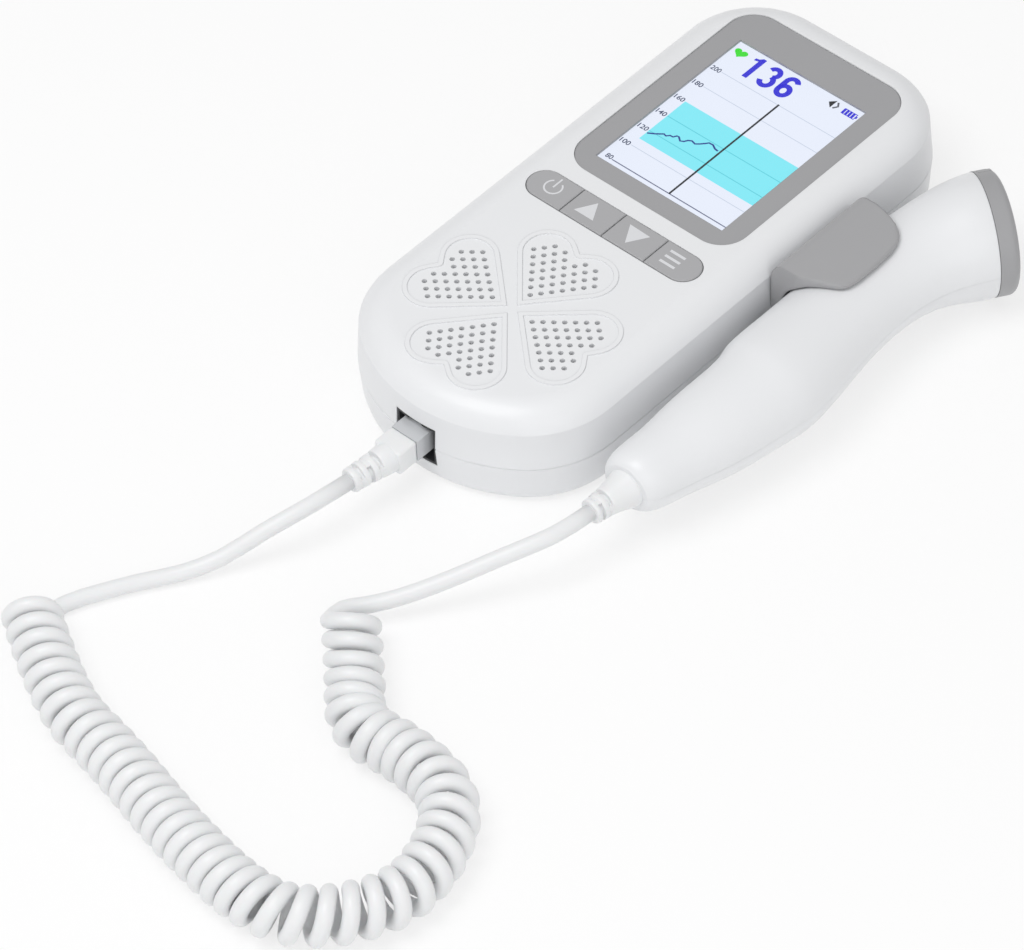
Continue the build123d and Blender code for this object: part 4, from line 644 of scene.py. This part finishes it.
def clip_section(y, reach):
    """Outline of the clip across the probe, at `y` and out to `reach`."""
    def hollow(x):
        return PROBE_Z + HOLLOW_Z * math.sqrt(max(0.0, 1 - ((x - PROBE_X) / HOLLOW_X) ** 2))

    section = [(FOOT_X, FOOT_LOW), (BACK_X, FOOT_LOW), (BACK_X, 12.0), (33.5, 20.6)]
    section += [
        (SHOULDER_X - SHOULDER_WIDE * math.cos(a), SHOULDER_Z + (TOP_Z - SHOULDER_Z) * math.sin(a))
        for a in (math.radians(t) for t in range(0, 91, 9))
    ]
    for i in range(1, 13):      # out along the top
        x = SHOULDER_X + (reach - TIP - SHOULDER_X) * i / 12
        section.append((x, TOP_Z - DROOP * max(0.0, (x - DROOP_X) / DROOP_WIDE) ** 2))
    top = section[-1][1]
    low = hollow(reach)
    for i in range(1, 6):       # round the tip
        a = math.radians(90 - 30 * i)
        section.append((reach - TIP + TIP * math.cos(a), (top + low) / 2 + (top - low) / 2 * math.sin(a)))
    for i in range(1, 21):      # back along the hollow
        x = reach - TIP + (ROOT_X - reach + TIP) * (1 - (1 - i / 20) ** 2)
        section.append((x, hollow(x)))
    section += [(INNER_X, 14.0), (INNER_X, FOOT_HIGH), (FOOT_X, FOOT_HIGH)]
    return [(x, y, z) for x, z in section]


work = bmesh.new()
skin(work, [[work.verts.new(Vector(p) * MM) for p in clip_section(y, reach)] for y, reach in TONGUE])
clip = finish_piece("clip_moulding", meshed("clip_moulding", work), CLIP_GREY, "housing")
clip.data.set_sharp_from_angle(angle=CLIP_CREASE)
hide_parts("probe_clip")

# ------------------------------------------------------------------ floor, light and camera
floor_mesh = bpy.data.meshes.new("floor")
floor_mesh.from_pydata([(-4, -4, 0), (4, -4, 0), (4, 4, 0), (-4, 4, 0)], [], [(0, 1, 2, 3)])
floor = bpy.data.objects.new("floor", floor_mesh)
bpy.context.scene.collection.objects.link(floor)
FLOOR_WHITE = 0.7               # share that is plain white to the camera, in gloss and through glass
floor_material = bpy.data.materials.new("floor")
floor_material.use_nodes = True
tree = floor_material.node_tree
tree.nodes.clear()
rays = tree.nodes.new("ShaderNodeLightPath")
seen = maths(tree, "MAXIMUM", rays.outputs["Is Camera Ray"], rays.outputs["Is Glossy Ray"])
seen = maths(tree, "MAXIMUM", seen, rays.outputs["Is Transmission Ray"])
share = maths(tree, "MULTIPLY", seen, FLOOR_WHITE)
matt = node(tree, "ShaderNodeBsdfDiffuse", Color=(0.96, 0.96, 0.96, 1.0))
glow = node(tree, "ShaderNodeEmission", Color=(1.0, 1.0, 1.0, 1.0), Strength=1.0)
mix = tree.nodes.new("ShaderNodeMixShader")
tree.links.new(share, mix.inputs[0])
tree.links.new(matt.outputs[0], mix.inputs[1])
tree.links.new(glow.outputs[0], mix.inputs[2])
out = tree.nodes.new("ShaderNodeOutputMaterial")
tree.links.new(mix.outputs[0], out.inputs["Surface"])
floor_mesh.materials.append(floor_material)

WORLD_LIGHT = 0.57
world = bpy.data.worlds.new("studio")
bpy.context.scene.world = world
world.use_nodes = True
world.node_tree.nodes["Background"].inputs["Color"].default_value = (1.0, 1.0, 1.0, 1.0)
world.node_tree.nodes["Background"].inputs["Strength"].default_value = WORLD_LIGHT


def softbox(name, place, aim, size, power):
    """A square area lamp at `place` that faces `aim`."""
    lamp = bpy.data.lights.new(name, "AREA")
    lamp.shape = "SQUARE"
    lamp.size = size
    lamp.energy = power
    holder = bpy.data.objects.new(name, lamp)
    holder.location = place
    holder.rotation_euler = (Vector(aim) - Vector(place)).to_track_quat("-Z", "Y").to_euler()
    bpy.context.scene.collection.objects.link(holder)


LAMP_AIM = (0.0, -0.05, 0.0)
softbox("key", (-0.08, -0.42, 0.95), LAMP_AIM, 0.55, 4.0)
softbox("fill", (0.80, -0.50, 0.50), LAMP_AIM, 0.8, 1.7)

# the photo's own view, as solved from the casing and the display
AZIMUTH, ELEVATION, ROLL = 44.49, 46.84, -2.98
FOCAL_PIXELS, PHOTO_WIDTH = 5941.38, 1024
DISTANCE = 1.26008
TARGET = Vector((0.03322, -0.07867, 0.026))
azimuth, elevation, roll = (math.radians(a) for a in (AZIMUTH, ELEVATION, ROLL))
back = Vector((
    math.sin(azimuth) * math.cos(elevation), -math.cos(azimuth) * math.cos(elevation), math.sin(elevation),
))
level = Vector((math.cos(azimuth), math.sin(azimuth), 0))
upright = back.cross(level)
right = math.cos(roll) * level + math.sin(roll) * upright
up = -math.sin(roll) * level + math.cos(roll) * upright
lens = bpy.data.cameras.new("camera")
lens.sensor_width = 36.0
lens.lens = FOCAL_PIXELS / PHOTO_WIDTH * lens.sensor_width
lens.clip_start = 0.01
camera = bpy.data.objects.new("camera", lens)
turn = Matrix((right, up, back)).transposed().to_4x4()
camera.matrix_world = Matrix.Translation(TARGET + DISTANCE * back) @ turn
bpy.context.scene.collection.objects.link(camera)
bpy.context.scene.camera = camera
bpy.context.scene.view_settings.view_transform = "Standard"

bpy.context.view_layer.update()
